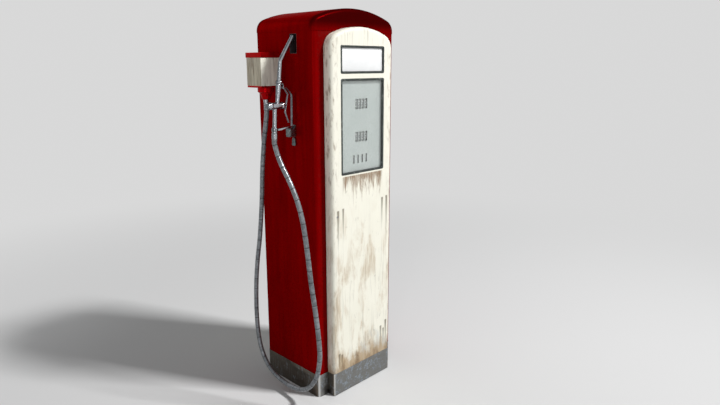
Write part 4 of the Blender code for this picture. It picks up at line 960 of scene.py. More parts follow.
@dataclass(frozen=True)
class BareMetal(Finish):
    """Bare metal with tarnish in patches, a painted highlight on faces that look forward, scratches and worn pale
    edges.
    """

    colour: Colour = (0.55, 0.56, 0.57)
    tarnish: Colour = (0.16, 0.17, 0.18)
    # the pale colour of worn edges and scratches, and of the painted highlight on forward faces
    polish_and_highlight: Colour = (0.85, 0.86, 0.87)
    smooth: float = 0.22
    dull: float = 0.48
    grime: float = 0.6
    metal: float = 1.0
    # how far faces that look towards -Y are lightened: a painted highlight
    painted_highlight: float = 0.0

    def dress(self, graph: Graph) -> dict[str, object]:
        """Tarnish, then a painted highlight on forward faces and pale wear at edges and in scratches, over a fine
        grain.
        """
        patches = graph.mask(BLOTCHES, scale=44.0, low=0.42, high=0.74)
        grain = graph.drawn((40.0, 40.0, 40.0), 4.0)
        colour = graph.lay(
            self.colour,
            (patches, self.grime, self.tarnish),
            # painted highlight: faces that look towards -Y are lightened
            (graph.span(graph.facing(1), -0.35, -0.90), self.painted_highlight, self.polish_and_highlight),
            (graph.mask(EDGE_WEAR, start=0.55, end=0.66, breakup=150.0), 0.35, self.polish_and_highlight),
            (graph.mask(SCRATCHES, scale=60.0, thickness=0.02, amount=0.8), 0.4, self.polish_and_highlight),
        )
        rough = graph.add(graph.level(patches, self.smooth, self.dull),
                          graph.times(graph.math("SUBTRACT", grain, 0.5), 0.12))
        return {"Base Color": colour, "Roughness": rough, "Metallic": self.metal,
                "Normal": self.bump(graph, grain, 0.06, 0.0002)}


@dataclass(frozen=True)
class SkirtSteel(Finish):
    """Dull stainless sheet, wiped and smudged, with a level grain, painted shade that keeps its sides dark and warm,
    and painted highlights on its rounded corners.
    """

    # steel is the sides' dark warm colour and pale the ends' lighter one, a shaded and a lit copy: painted shade and
    # light; the corner colour is a painted highlight
    steel: Colour = (0.16, 0.145, 0.12)
    low_dark: Colour = (0.075, 0.052, 0.035)
    pale: Colour = (0.27, 0.275, 0.27)
    polish_and_highlight: Colour = (0.85, 0.84, 0.80)
    blue: Colour = (0.36, 0.42, 0.48)
    top: float = 0.128

    def dress(self, graph: Graph) -> dict[str, object]:
        """Darker towards the bottom, ends paler as painted light with blue mottles, painted highlights on the corners
        and a level grain.
        """
        smudge = graph.mask(BLOTCHES, scale=26.0, low=0.44, high=0.60)
        fine = graph.mask(BLOTCHES, scale=90.0, low=0.46, high=0.62)
        # darker towards the bottom
        rising = graph.rest(graph.span(graph.parts()[2], 0.0, self.top, 0.1, 0.6))
        ahead = graph.plain(graph.facing(1))
        # painted light: faces that look along Y, the ends, are paler than the sides
        ends = graph.span(ahead, 0.35, 0.9)
        # painted highlight on the rounded corners between sides and ends
        corner = graph.rest(graph.span(graph.plain(graph.math("SUBTRACT", ahead, 0.75)), 0.05, 0.25))
        colour = graph.lay(
            self.steel,
            (rising, 0.70, self.low_dark),
            (ends, 0.75, self.pale),
            (graph.times(smudge, fine, ends), 0.9, self.blue),
            (corner, 0.7, self.polish_and_highlight),
            (graph.mask(SCRATCHES, scale=45.0, thickness=0.02, amount=0.9), 0.4, self.blue),
        )
        grain = graph.drawn((6.0, 6.0, 900.0), 3.0)
        rough = graph.add(graph.level(smudge, 0.30, 0.46), graph.times(graph.math("SUBTRACT", grain, 0.5), 0.16))
        height = graph.math("ADD", graph.times(grain, 0.4), graph.times(fine, 0.3))
        return {"Base Color": colour, "Roughness": rough, "Metallic": 1.0,
                "Normal": self.bump(graph, height, 0.12, 0.0003)}


@dataclass(frozen=True)
class PaintedSteel(Finish):
    """Plain machine paint with dust, chips and oily patches."""

    colour: Colour = (0.10, 0.11, 0.11)
    dust: Colour = (0.34, 0.32, 0.28)
    chip: Colour = (0.30, 0.22, 0.16)
    rough: float = 0.5

    def dress(self, graph: Graph) -> dict[str, object]:
        """Paint, chips at the corners, dust on what faces up."""
        patches = graph.mask(BLOTCHES, scale=14.0, low=0.36, high=0.68)
        uneven = graph.span(graph.noise(30.0), 0.3, 0.6, 0.3, 0.9)
        settled = graph.times(graph.span(graph.facing(2), 0.3, 0.95), uneven)
        colour = graph.lay(
            self.colour,
            (patches, 0.6, tuple(0.55 * part for part in self.colour)),
            (settled, 0.6, self.dust),
            (graph.mask(EDGE_WEAR, start=0.55, end=0.63, breakup=110.0), 0.8, self.chip),
        )
        return {"Base Color": colour, "Roughness": graph.level(patches, self.rough + 0.12, self.rough - 0.12),
                "Normal": self.bump(graph, graph.noise(160.0, 3.0), 0.15, 0.0003)}


@dataclass(frozen=True)
class DialPaint(Finish):
    """Matt grey-green face, brushed, scratched and spotted."""

    colour: Colour = (0.47, 0.52, 0.50)
    pale: Colour = (0.60, 0.64, 0.62)
    dark: Colour = (0.12, 0.13, 0.12)

    def dress(self, graph: Graph) -> dict[str, object]:
        """Speckled tone, thin scratches and a few dark spots."""
        tone = graph.mask(BLOTCHES, scale=85.0, low=0.35, high=0.68)
        broad = graph.mask(BLOTCHES, scale=9.0, low=0.35, high=0.70)
        colour = graph.lay(
            self.colour,
            (graph.math("ADD", tone, broad), 0.35, self.pale),
            (graph.mask(SCRATCHES, scale=30.0, thickness=0.012, amount=0.62), 0.38, self.dark),
            (graph.mask(BLOTCHES, scale=75.0, low=0.74, high=0.79), 0.8, self.dark),
        )
        return {"Base Color": colour, "Roughness": graph.level(tone, 0.50, 0.38), "Metallic": 0.25,
                "Normal": self.bump(graph, tone, 0.10, 0.0002)}


@dataclass(frozen=True)
class HoseCover(Finish):
    """Grey hose cover with dark bands and scuffs; its own length attribute places the bands."""

    colour: Colour = (0.20, 0.215, 0.23)
    pale: Colour = (0.36, 0.38, 0.40)
    dark: Colour = (0.035, 0.038, 0.042)
    spacing: float = 0.058

    def dress(self, graph: Graph) -> dict[str, object]:
        """Bands by length along the hose, over scuffed grey."""
        along = graph.node("Attribute", attribute_name="along").outputs["Fac"]
        phase = graph.math("FRACT", graph.math("DIVIDE", along, self.spacing))
        scuff = graph.mask(BLOTCHES, scale=55.0, low=0.42, high=0.66)
        colour = graph.lay(
            self.colour,
            (graph.mask(BLOTCHES, scale=8.0, low=0.35, high=0.65), 0.35, self.dark),
            (scuff, 0.55, self.pale),
            (graph.span(graph.plain(graph.math("SUBTRACT", phase, 0.5)), 0.445, 0.475), 0.8, self.dark),
        )
        return {"Base Color": colour, "Roughness": graph.level(scuff, 0.42, 0.28), "Metallic": 0.55,
                "Normal": self.bump(graph, graph.noise(220.0, 3.0), 0.14, 0.0003)}


@dataclass(frozen=True)
class Glass(Finish):
    """A pane: opal if it is nearly opaque, clear if its alpha is low."""

    colour: Colour = (0.9, 0.92, 0.9)
    alpha: float = 1.0
    glow: float = 0.0

    def dress(self, graph: Graph) -> dict[str, object]:
        """Smooth, with fingerprints and dust in its roughness."""
        film = graph.mask(BLOTCHES, scale=18.0, low=0.40, high=0.75)
        colour = graph.lay(self.colour, (film, 0.6, tuple(0.93 * part for part in self.colour)))
        return {"Base Color": colour, "Roughness": graph.level(film, 0.06, 0.18), "Alpha": self.alpha,
                "Emission Color": (1.0, 1.0, 1.0), "Emission Strength": self.glow}


@dataclass(frozen=True)
class Plain(Finish):
    """Rubber, plastic or print: one colour with a worn, dusty tone."""

    colour: Colour = (0.5, 0.5, 0.5)
    other: Colour = (0.4, 0.4, 0.4)
    rough: float = 0.5

    def dress(self, graph: Graph) -> dict[str, object]:
        """Two tones mixed in patches with a fine bump."""
        patches = graph.mask(BLOTCHES, scale=40.0, low=0.35, high=0.7)
        return {"Base Color": graph.lay(self.colour, (patches, 1.0, self.other)),
                "Roughness": graph.level(patches, self.rough, self.rough + 0.15),
                "Normal": self.bump(graph, graph.noise(300.0, 2.0), 0.15, 0.0002)}


RED = RedEnamel("red enamel", "red_enamel")
# A glossier, lighter copy of the red for the outlet lid and bell: partly their own glossier paint, partly painted
# light that lifts the bell out of the box's shadow.
LIT_GLOSS_RED = RedEnamel("glossy red enamel", "red_enamel", colour=(0.46, 0.002, 0.004), faded=(0.24, 0.0008, 0.002),
                      sheen=0.30, smooth=0.10, rough=0.22, flake=0.6)
DOOR = DoorEnamel("door enamel", "cream_enamel")
BOX_ENAMEL = BoxEnamel("box enamel", "cream_enamel")
SKIRT = SkirtSteel("skirt steel", "skirt_metal")
# ALLOY and HOOK_ALLOY carry a painted highlight on faces that look forward
ALLOY = BareMetal("nozzle alloy", "nozzle_metal", colour=(0.19, 0.21, 0.23), tarnish=(0.075, 0.085, 0.095),
                  polish_and_highlight=(0.58, 0.61, 0.64), smooth=0.18, dull=0.34, grime=0.75, painted_highlight=0.75)
HOOK_ALLOY = BareMetal("hook alloy", "nozzle_metal", colour=(0.13, 0.155, 0.16), tarnish=(0.035, 0.045, 0.045),
                       polish_and_highlight=(0.50, 0.55, 0.56), smooth=0.26, dull=0.45, grime=0.75, painted_highlight=0.25)
TURNED = BareMetal("turned steel", "shaft_steel", colour=(0.46, 0.46, 0.46), tarnish=(0.20, 0.17, 0.14),
                   polish_and_highlight=(0.75, 0.75, 0.75), smooth=0.26, dull=0.5, grime=0.5)
BEZEL = BareMetal("bezel metal", "bezel_metal", colour=(0.075, 0.085, 0.08), tarnish=(0.035, 0.04, 0.04),
                  polish_and_highlight=(0.50, 0.54, 0.52), smooth=0.34, dull=0.55, grime=0.5, metal=0.8)
FRAME_PAINT = PaintedSteel("frame paint", "frame_steel", colour=(0.085, 0.095, 0.095))
POCKET_PAINT = PaintedSteel("pocket paint", "frame_steel", colour=(0.020, 0.010, 0.012), dust=(0.05, 0.035, 0.035),
                            chip=(0.06, 0.03, 0.03))
CASTING = PaintedSteel("casting paint", "cast_iron", colour=(0.075, 0.13, 0.10), rough=0.48)
DIAL = DialPaint("dial paint", "dial_paint")
WHEEL = Plain("wheel plastic", "wheel_plastic", colour=(0.74, 0.77, 0.75), other=(0.62, 0.65, 0.63), rough=0.45)
PRINT = Plain("print black", "wheel_plastic", colour=(0.022, 0.024, 0.024), other=(0.045, 0.048, 0.048), rough=0.5)
RUBBER = Plain("belt rubber", "black_rubber", colour=(0.022, 0.022, 0.022), other=(0.045, 0.043, 0.04), rough=0.7)
HOSE = HoseCover("hose cover", "hose_cover")
OPAL = Glass("opal glass", "milk_glass", colour=(0.88, 0.89, 0.89), glow=0.03)
CLEAR = Glass("clear glass", "clear_glass", colour=(0.75, 0.80, 0.78), alpha=0.10)


# ---------------------------------------------------------------- case


@dataclass
class CaseSheets:
    """The red sheet case with its crowned cover, the steel skirt and the toe pieces."""

    sheet: float = 0.003
    corner: float = 0.020
    flange: float = 0.140
    cover_sheet: float = 0.0018
    arch: float = 0.680
    shoulder: float = 0.060
    skirt_sheet: float = 0.0015
    kick_sheet: float = 0.002
    kick_corner: float = 0.012
    fold: float = 0.0006
    switch_hole: Pair = (0.011, 0.0045)
    pipe_hole: Pair = (0.014, 0.0169)
    steps: int = 10

    def build(self) -> None:
        """Builds every sheet of the case."""
        self.side_panel("left_side_panel", -1)
        self.side_panel("right_side_panel", 1)
        self.top_cover()
        self.skirt()
        for name in ("front_kick_plate", "rear_kick_plate"):
            self.kick_plate(name)

    def folded(self, corners: Sequence[Pair], radius: float, sheet: float, box: Box) -> Form:
        """A folded sheet that stands as high as a box."""
        route = rounded_path(corners, radius, self.steps)
        return Form.prism(strip_outline(route, sheet), Axis.Z, box.lo.z, box.hi.z)

    def side_panel(self, node: str, sign: int) -> None:
        """A sheet that wraps from the front opening round to the rear one.

        Args:
            node: the CAD node that it stands for.
            sign: -1 for the hose side, 1 for the other.
        """
        box, half = Box.of(node), self.sheet / 2
        outer = (box.lo.x if sign < 0 else box.hi.x) - sign * half
        edge, face = outer + sign * (half - self.flange), box.hi.y - half
        corners = [(edge, -face), (outer, -face), (outer, face), (edge, face)]
        made = self.folded(corners, self.corner - half, self.sheet, box).object(node + "_sheet")
        if sign < 0:
            carve(made, self.panel_holes(outer), Join.CUT)
        mount_piece(made, RED, "case", [node])

    def panel_holes(self, x: float) -> list[Object]:
        """Cutters for the spout pocket's mouth, the outlet pipe and the switch shaft."""
        pocket, switch = Box.of("spout_pocket"), Box.of("switch_lever")
        near, far = x - 2 * REACH, x + 2 * REACH
        mouth = Form.block((near, pocket.lo.y - GAP, pocket.lo.z - GAP), (far, pocket.hi.y + GAP, pocket.hi.z + GAP))
        (drop, shaft), (aside, pipe) = self.switch_hole, self.pipe_hole
        spots = ((switch.centre.y, switch.hi.z - drop, shaft),
                 (Box.of("outlet_swivel").centre.y - aside, Box.of("outlet_housing").centre.z, pipe))
        return [mouth.object("mouth_tool"), *(Form.rod((near, y, z), (far, y, z), radius).object("hole_tool")
                                              for y, z, radius in spots)]

    def cover_form(self, inset: float, bottom: float) -> Form:
        """The cover's outer form, or the hollow in it."""
        box = Box.of("top_cover")
        crown = Crown(box.hi.x - inset, bottom, box.hi.z - inset, self.arch - inset,
                      self.shoulder + self.cover_sheet - inset)
        reach = box.hi.y - inset
        form = Form.prism(crown.points(self.steps), Axis.Y, -reach, reach)
        return round_rims(form, (-reach, reach), bottom, self.corner + GAP + self.cover_sheet - inset, self.steps)

    def top_cover(self) -> None:
        """The crowned cover, hollow and open below."""
        bottom = Box.of("top_cover").lo.z
        outer = self.cover_form(0.0, bottom).object("top_cover_sheet")
        hollow = self.cover_form(self.cover_sheet, bottom - 5 * REACH).object("cover_hollow_tool")
        mount_piece(carve(outer, [hollow], Join.CUT), RED, "case", ["top_cover"])

    def skirt(self) -> None:
        """The steel band round the foot of the case, with eased edges."""
        box, radius = Box.of("case_skirt"), self.corner + GAP
        form = Form.ring(box.outline(Axis.Z, 0.0, radius + self.skirt_sheet, self.steps),
                         box.outline(Axis.Z, self.skirt_sheet, radius, self.steps), Axis.Z, box.lo.z, box.hi.z)
        form.soften(self.fold).piece("skirt_band", SKIRT, "case", ["case_skirt"])

    def kick_plate(self, node: str) -> None:
        """The steel toe piece under a door."""
        box, half = Box.of(node), self.kick_sheet / 2
        back, face = (box.hi.y, box.lo.y + half) if box.centre.y < 0 else (box.lo.y, box.hi.y - half)
        side = box.hi.x - half
        form = self.folded([(-side, back), (-side, face), (side, face), (side, back)], self.kick_corner,
                           self.kick_sheet, box)
        form.soften(self.fold).piece(node + "_sheet", SKIRT, "case", [node])


def round_rims(form: Form, faces_at: Sequence[float], bottom: float, radius: float, segments: int) -> Form:
    """Rounds the rims of a form's flat ends, except along its bottom.

    Args:
        form: a form pushed along Y.
        faces_at: the y values of the ends to round.
        bottom: the height of the bottom edge, which stays.
        radius: the rounding's radius.
        segments: its steps.

    Returns:
        The same form.
    """
    rims = []
    for edge in form.bm.edges:
        ends = [vert.co for vert in edge.verts]
        on_face = any(all(abs(end.y - y) < TINY for end in ends) for y in faces_at)
        if on_face and not all(end.z < bottom + TINY for end in ends):
            rims.append(edge)
    bmesh.ops.bevel(form.bm, geom=rims, offset=radius, segments=segments, profile=0.5, affect="EDGES", material=-1)
    return form


# ---------------------------------------------------------------- doors


@dataclass
class Door:
    """A pressed door pan with its lock and its hinge. The rear one is the front one turned round."""

    node: str
    turned: bool = False
    sheet: float = 0.003
    arch: float = 0.450
    corner: float = 0.075
    edge: float = 0.020
    lock_radius: float = 0.0060
    lock_gap: float = 0.0004
    knuckle: float = 0.0046
    knuckle_length: float = 0.020
    knuckle_heights: Triple = (0.30, 0.95, 1.62)
    knuckle_ease: float = 0.0012
    steps: int = 10

    def build(self, openings: Sequence[Object] = ()) -> None:
        """Builds the pan, then the lock and the hinge from their own nodes."""
        self.pan(openings)
        ease_node(self.node + "_lock", self.node + "_lock_barrel", TURNED, self.node + "_lock", 0.0003, 50)
        ease_node(self.node + "_hinge", self.node + "_hinge_pin", TURNED, "case", 0.0006)

    def pan_form(self, inset: float, back: float, face: float) -> Form:
        """The pan's outer form, or the hollow in it. Both doors have the front one's."""
        box = Box.of("front_door")
        crown = Crown(-box.lo.x, box.lo.z, box.hi.z, self.arch, self.corner).inset(inset)
        form = Form.prism(crown.points(self.steps), Axis.Y, back, face)
        return round_rims(form, (face,), crown.bottom, self.edge - inset, self.steps)

    def pan(self, openings: Sequence[Object]) -> None:
        """The hollow pan with its openings and its hinge knuckles.

        Args:
            openings: cutters for windows.
        """
        face, back = Box.of("front_door").lo.y, Box.of("left_side_panel").lo.y - self.sheet
        lock = Box.of("front_door_lock")
        x, z = lock.centre.x, lock.lo.z + self.lock_radius
        pan = self.pan_form(0.0, back, face).object(self.node + "_pan")
        hollow = self.pan_form(self.sheet, back + REACH, face + self.sheet).object("hollow_tool")
        bore = Form.rod((x, face - REACH, z), (x, face + REACH, z), self.lock_radius + self.lock_gap)
        carve(pan, [hollow, bore.object("lock_tool"), *openings], Join.CUT)
        carve(pan, self.knuckles(), Join.WELD)
        if self.turned:
            pan.data.transform(Matrix.Rotation(math.pi, 4, "Z"))
        mount_piece(pan, DOOR, self.node, [self.node], sharp=30)

    def knuckles(self) -> list[Object]:
        """The blocks that turn on the hinge pin."""
        half, hinge, made = -Box.of("front_door").lo.x, Box.of("front_door_hinge"), []
        x, y = hinge.centre.x, hinge.lo.y + self.knuckle
        for height in self.knuckle_heights:
            low = height + self.knuckle_length + GAP
            block = Form.block((half - self.sheet / 2, y - self.knuckle, low),
                               (x + self.knuckle, y + self.knuckle, low + self.knuckle_length))
            made.append(block.soften(self.knuckle_ease).object("knuckle"))
        return made


@dataclass
class Window:
    """A framed pane in the front door."""

    frame_node: str
    glass_node: str
    pane: Finish
    label: str
    width: float = 0.010
    corner: float = 0.008
    seal: float = 0.0014
    ease: float = 0.0004

    def outline(self, inset: float) -> list[Pair]:
        """The window's outline, moved inwards."""
        return Box.of(self.frame_node).outline(Axis.Y, inset - GAP, self.corner)

    def cutter(self) -> Object:
        """The tool that opens the door for this window."""
        face = Box.of(self.frame_node).lo.y
        return Form.prism(self.outline(0.0), Axis.Y, face - REACH, face + 2 * REACH).object(self.label + "_tool")

    def build(self) -> None:
        """The frame with rounded lips, the dark seal and the pane."""
        box, pane = Box.of(self.frame_node), Box.of(self.glass_node)
        border = Form.ring(self.outline(GAP), self.outline(self.width), Axis.Y, box.lo.y, box.hi.y)
        border.soften(self.seal, 3).piece(self.label + "_window_frame", BEZEL, "front_door",
                                                    [self.frame_node])
        seal = Form.ring(self.outline(self.width + GAP / 2), self.outline(self.width + self.seal), Axis.Y,
                         pane.lo.y - self.seal, pane.lo.y - GAP)
        seal.soften(self.ease).piece(self.label + "_window_seal", RUBBER, "front_door")
        glass = Form.prism(self.outline(self.width + GAP), Axis.Y, pane.lo.y, pane.hi.y)
        glass.soften(self.ease).piece(self.label + "_pane", self.pane, "front_door", [self.glass_node])


# ---------------------------------------------------------------- register


@dataclass
class Register:
    """The dial plate with its apertures, and the counter wheels with their digits."""

    wheel_radius: float = 0.040
    wheel_width: float = 0.0200
    wheel_bore: float = 0.0044
    wheel_ease: float = 0.0008
    pitch: float = 0.0225
    price_pitch: float = 0.030
    price_width: float = 0.013
    price_centre: float = -0.009
    price_shaft: float = 0.004
    price_ease: float = 0.0006
    aperture: Pair = (0.0175, 0.050)
    price_aperture: Pair = (0.0100, 0.042)
    aperture_corner: float = 0.0016
    rim: float = 0.0007
    rim_proud: float = 0.0005
    digit_height: float = 0.0205
    digit_width: float = 0.0100
    price_digit_width: float = 0.0058
    slender_one: float = 0.45
    boldness: float = 0.030
    shift: float = 0.0010
    ink: float = 0.00012
    ink_lift: float = 0.00004
    per_wheel: int = 10
    sides: int = 64
    bends: int = 8

    def __post_init__(self) -> None:
        """Reads the rows' heights and the wheels' line."""
        self.line_y = Box.of("sale_wheel_1").centre.y
        self.rows = {label: Box.of(node).centre.z for label, node in (
            ("sale", "sale_wheel_1"), ("volume", "volume_wheel_1"), ("price", "price_roller"))}

    def places(self, label: str) -> list[float]:
        """Centres of a row's wheels, from the right to the left."""
        centre, pitch = (self.price_centre, self.price_pitch) if label == "price" else (0.0, self.pitch)
        return [centre + pitch * (1.5 - i) for i in range(4)]

    def build(self) -> None:
        """Builds the plate, the rims, the wheels and their digits."""
        self.dial()
        for label in ("sale", "volume"):
            for number, x in enumerate(self.places(label), 1):
                body = f"{label}_drive" if number == 1 else f"{label}_wheel_{number}"
                self.wheel(f"{label}_wheel_{number}", x, self.rows[label], body)
                self.digits(f"{label}_digits_{number}", [x], self.rows[label], body, self.digit_width)
            ease_node(f"{label}_shaft", f"{label}_axle", TURNED, f"{label}_drive", 0.0003)
        self.price_roller()
        ease_node("register_drive_shaft", "register_worm_shaft", TURNED, "register_drive", 0.0003)

    def dial(self) -> None:
        """The plate with twelve openings, each with a dark rim."""
        box = Box.of("dial_plate")
        plate = Form.prism(box.outline(Axis.Y, 0.0, 0.008, 8), Axis.Y, box.lo.y, box.hi.y)
        tools, rims = [], Form()
        for label, z in self.rows.items():
            width, height = self.price_aperture if label == "price" else self.aperture
            for x in self.places(label):
                opening = Box(Vector((x - width / 2, 0, z - height / 2)), Vector((x + width / 2, 0, z + height / 2)))
                outline = opening.outline(Axis.Y, 0.0, self.aperture_corner, 4)
                tools.append(Form.prism(outline, Axis.Y, box.lo.y - REACH, box.hi.y + REACH).object("opening_tool"))
                rims.absorb(Form.ring(outline, opening.outline(Axis.Y, self.rim, self.aperture_corner / 2, 4), Axis.Y,
                                      box.lo.y - self.rim_proud, box.hi.y))
        mount_piece(carve(plate.object("dial_sheet"), tools, Join.CUT), DIAL, "case", ["dial_plate"])
        rims.soften(0.0003).piece("dial_opening_rims", PRINT, "case")

    def rim_profile(self, low: float, high: float, inner: float, ease: float) -> list[Pair]:
        """A wheel's profile with eased rims, from low to high along its axle."""
        r = self.wheel_radius
        return [(inner, low), (r - ease, low), (r, low + ease), (r, high - ease), (r - ease, high), (inner, high)]

    def wheel(self, node: str, x: float, z: float, body: str) -> None:
        """A counter wheel with eased rims."""
        half = self.wheel_width / 2
        form = Form.lathe(self.rim_profile(-half, half, self.wheel_bore, self.wheel_ease), (x, self.line_y, z),
                          (1, 0, 0), self.sides, bored=True)
        form.piece(node + "_drum", WHEEL, body, [node])

    def price_roller(self) -> None:
        """One shaft with four fixed rims, and their digits."""
        end, half, z = Box.of("price_roller").hi.x, self.price_width / 2, self.rows["price"]
        profile = [(0, -end), (self.price_shaft, -end)]
        for x in reversed(self.places("price")):
            profile += self.rim_profile(x - half, x + half, self.price_shaft, self.price_ease)
        profile += [(self.price_shaft, end), (0, end)]
        form = Form.lathe(profile, (0, self.line_y, z), (1, 0, 0), self.sides)
        form.piece("price_drums", WHEEL, "price_roller", ["price_roller"])
        self.digits("price_digits", self.places("price"), z, "price_roller", self.price_digit_width)

    def digits(self, name: str, places: Sequence[float], z: float, body: str, width: float) -> None:
        """Ten digits printed round each wheel, zero to the front.

        Args:
            name: the piece's name.
            places: the middles of the wheels that it covers.
            z: the wheels' height.
            body: the body that they ride on.
            width: a digit's width.
        """
        ring = Form()
        for x in places:
            for value in range(self.per_wheel):
                flat = self.digit_form(str(value), width)
                for vert in flat.bm.verts:
                    angle = vert.co.y / self.wheel_radius + math.tau * value / self.per_wheel
                    reach = self.wheel_radius + self.ink_lift + vert.co.z
                    vert.co = (x + self.shift + vert.co.x, self.line_y - reach * math.cos(angle),
                               z + reach * math.sin(angle))
                ring.absorb(flat.outward())
        ring.piece(name, PRINT, body, sharp=60)

    def digit_form(self, text: str, width: float) -> Form:
        """One digit as a thin raised print, cut across so that it can bend round a wheel."""
        curve = bpy.data.curves.new("digit", "FONT")
        curve.body, curve.resolution_u, curve.offset = text, 3, self.boldness
        holder = bpy.data.objects.new("digit", curve)
        form = Form()
        form.bm.from_mesh(holder.to_mesh())
        holder.to_mesh_clear()
        bpy.data.objects.remove(holder)
        bmesh.ops.remove_doubles(form.bm, verts=form.bm.verts, dist=10 * TINY)
        xs, ys = ([vert.co[axis] for vert in form.bm.verts] for axis in (0, 1))
        middle = Vector(((min(xs) + max(xs)) / 2, (min(ys) + max(ys)) / 2, 0))
        across = width * (self.slender_one if text == "1" else 1.0)
        scale = Vector((across / (max(xs) - min(xs)), self.digit_height / (max(ys) - min(ys)), 1.0))
        bmesh.ops.translate(form.bm, verts=form.bm.verts, vec=-middle)
        bmesh.ops.scale(form.bm, verts=form.bm.verts, vec=scale)
        for step in range(1, self.bends):
            bmesh.ops.bisect_plane(form.bm, geom=form.bm.verts[:] + form.bm.edges[:] + form.bm.faces[:],
                                   plane_co=(0, self.digit_height * (step / self.bends - 0.5), 0), plane_no=(0, 1, 0))
        return form.pushed(form.bm.faces[:], (0, 0, self.ink))


# ---------------------------------------------------------------- outlet and hose


CASE_SIDE = -0.28
NOZZLE_LINE_Y = -0.072
NOZZLE_HEIGHT = 1.534
HANDLE_TOP = (0.114, 0.0)
HANDLE_END = (0.120, -0.103)
SWIVEL_LENGTH = 0.054


def nozzle_point(place: Spot) -> Vector:
    """A point given as distance out from the case side and height above the valve chamber's line."""
    return Vector((CASE_SIDE - place[0], NOZZLE_LINE_Y, NOZZLE_HEIGHT + place[1]))


def handle_line() -> tuple[Vector, Vector]:
    """The lower end of the nozzle's handle, and the way it points."""
    end = nozzle_point(HANDLE_END)
    return end, (end - nozzle_point(HANDLE_TOP)).normalized()


@dataclass
class Outlet:
    """The box on the case's side, with its cap, its swivel bell and the hose's ferrule."""

    wall: float = 0.004
    corner: float = 0.003
    plate_corner: float = 0.004
    flange: float = 0.0085
    bell_radius: float = 0.040
    bell_depth: float = 0.0585
    neck: float = 0.0205
    lip: float = 0.004
    bell_rise: float = 0.0325
    bell_power: float = 0.62
    swivel: Pair = (-0.342, 0.066)
    ferrule_radius: float = 0.0127
    crimp_depth: float = 0.0011

    def build(self) -> None:
        """Builds the box, its red lid, the bell and the ferrule."""
        box = Box.of("outlet_housing")
        walls = Form.ring(box.outline(Axis.Z, 0.0, self.corner), box.outline(Axis.Z, self.wall, 0.001), Axis.Z,
                          box.lo.z, box.hi.z)
        walls.soften(0.0006).piece("outlet_box_walls", BOX_ENAMEL, "case", ["outlet_housing"])
        cap = Box.of("outlet_cap")
        lid = self.plate(cap, cap.lo.z).soften(0.0022, 4)
        lid.piece("outlet_box_lid", LIT_GLOSS_RED, "case", ["outlet_cap"])
        self.bell()
        self.ferrule()

    def plate(self, box: Box, low: float) -> Form:
        """A plate with rounded corners, from a height up to a box's top."""
        return Form.prism(box.outline(Axis.Z, 0.0, self.plate_corner), Axis.Z, low, box.hi.z)

    def bell(self) -> None:
        """The flange under the box and the domed bell that hangs from it."""
        box = Box.of("outlet_swivel")
        bottom, r, depth, lip = box.hi.z - self.flange, self.bell_radius, self.bell_depth, self.lip
        profile = [(0.0, -depth)]
        profile += [(self.neck - lip + u, v - depth) for u, v in arc((0, lip), lip, -90, 0, 8)]
        for u, v in arc((0, 0), 1.0, 0, 90, 14)[1:]:
            profile.append((self.neck + (r - self.neck) * (1 - u) ** self.bell_power,
                            lip - depth + self.bell_rise * v))
        profile += [(r, -0.004), (r - 0.001, -0.0032), (r - 0.001, -0.002), (r, -0.0014), (r, 0.0), (0.0, 0.0)]
        flange = self.plate(box, bottom).soften(0.0015, 3)
        dome = Form.lathe(profile, (*self.swivel, bottom), UP, 64)
        made = carve(flange.object("outlet_bell"), [dome.object("dome_tool")], Join.WELD)
        mount_piece(made, LIT_GLOSS_RED, "case", ["outlet_swivel"])

    def ferrule(self) -> None:
        """The crimped steel ferrule at the top of the hose."""
        box, r = Box.of("hose_ferrule"), self.ferrule_radius
        foot, inner = box.lo.z - box.hi.z, self.ferrule_radius - self.crimp_depth
        profile = [(0, foot), (r - 0.0006, foot), (r, foot + 0.0012)]
        for base in (foot + 0.008, foot + 0.018, foot + 0.028):
            profile += [(r, base), (inner, base + 0.0016), (inner, base + 0.0042), (r, base + 0.0058)]
        profile += [(r, -0.0125), (r + 0.001, -0.0115), (r + 0.001, -0.0006), (r + 0.0004, 0), (0, 0)]
        form = Form.lathe(profile, (*self.swivel, box.hi.z), UP)
        form.piece("hose_top_ferrule", ALLOY, "case", ["hose_ferrule"])


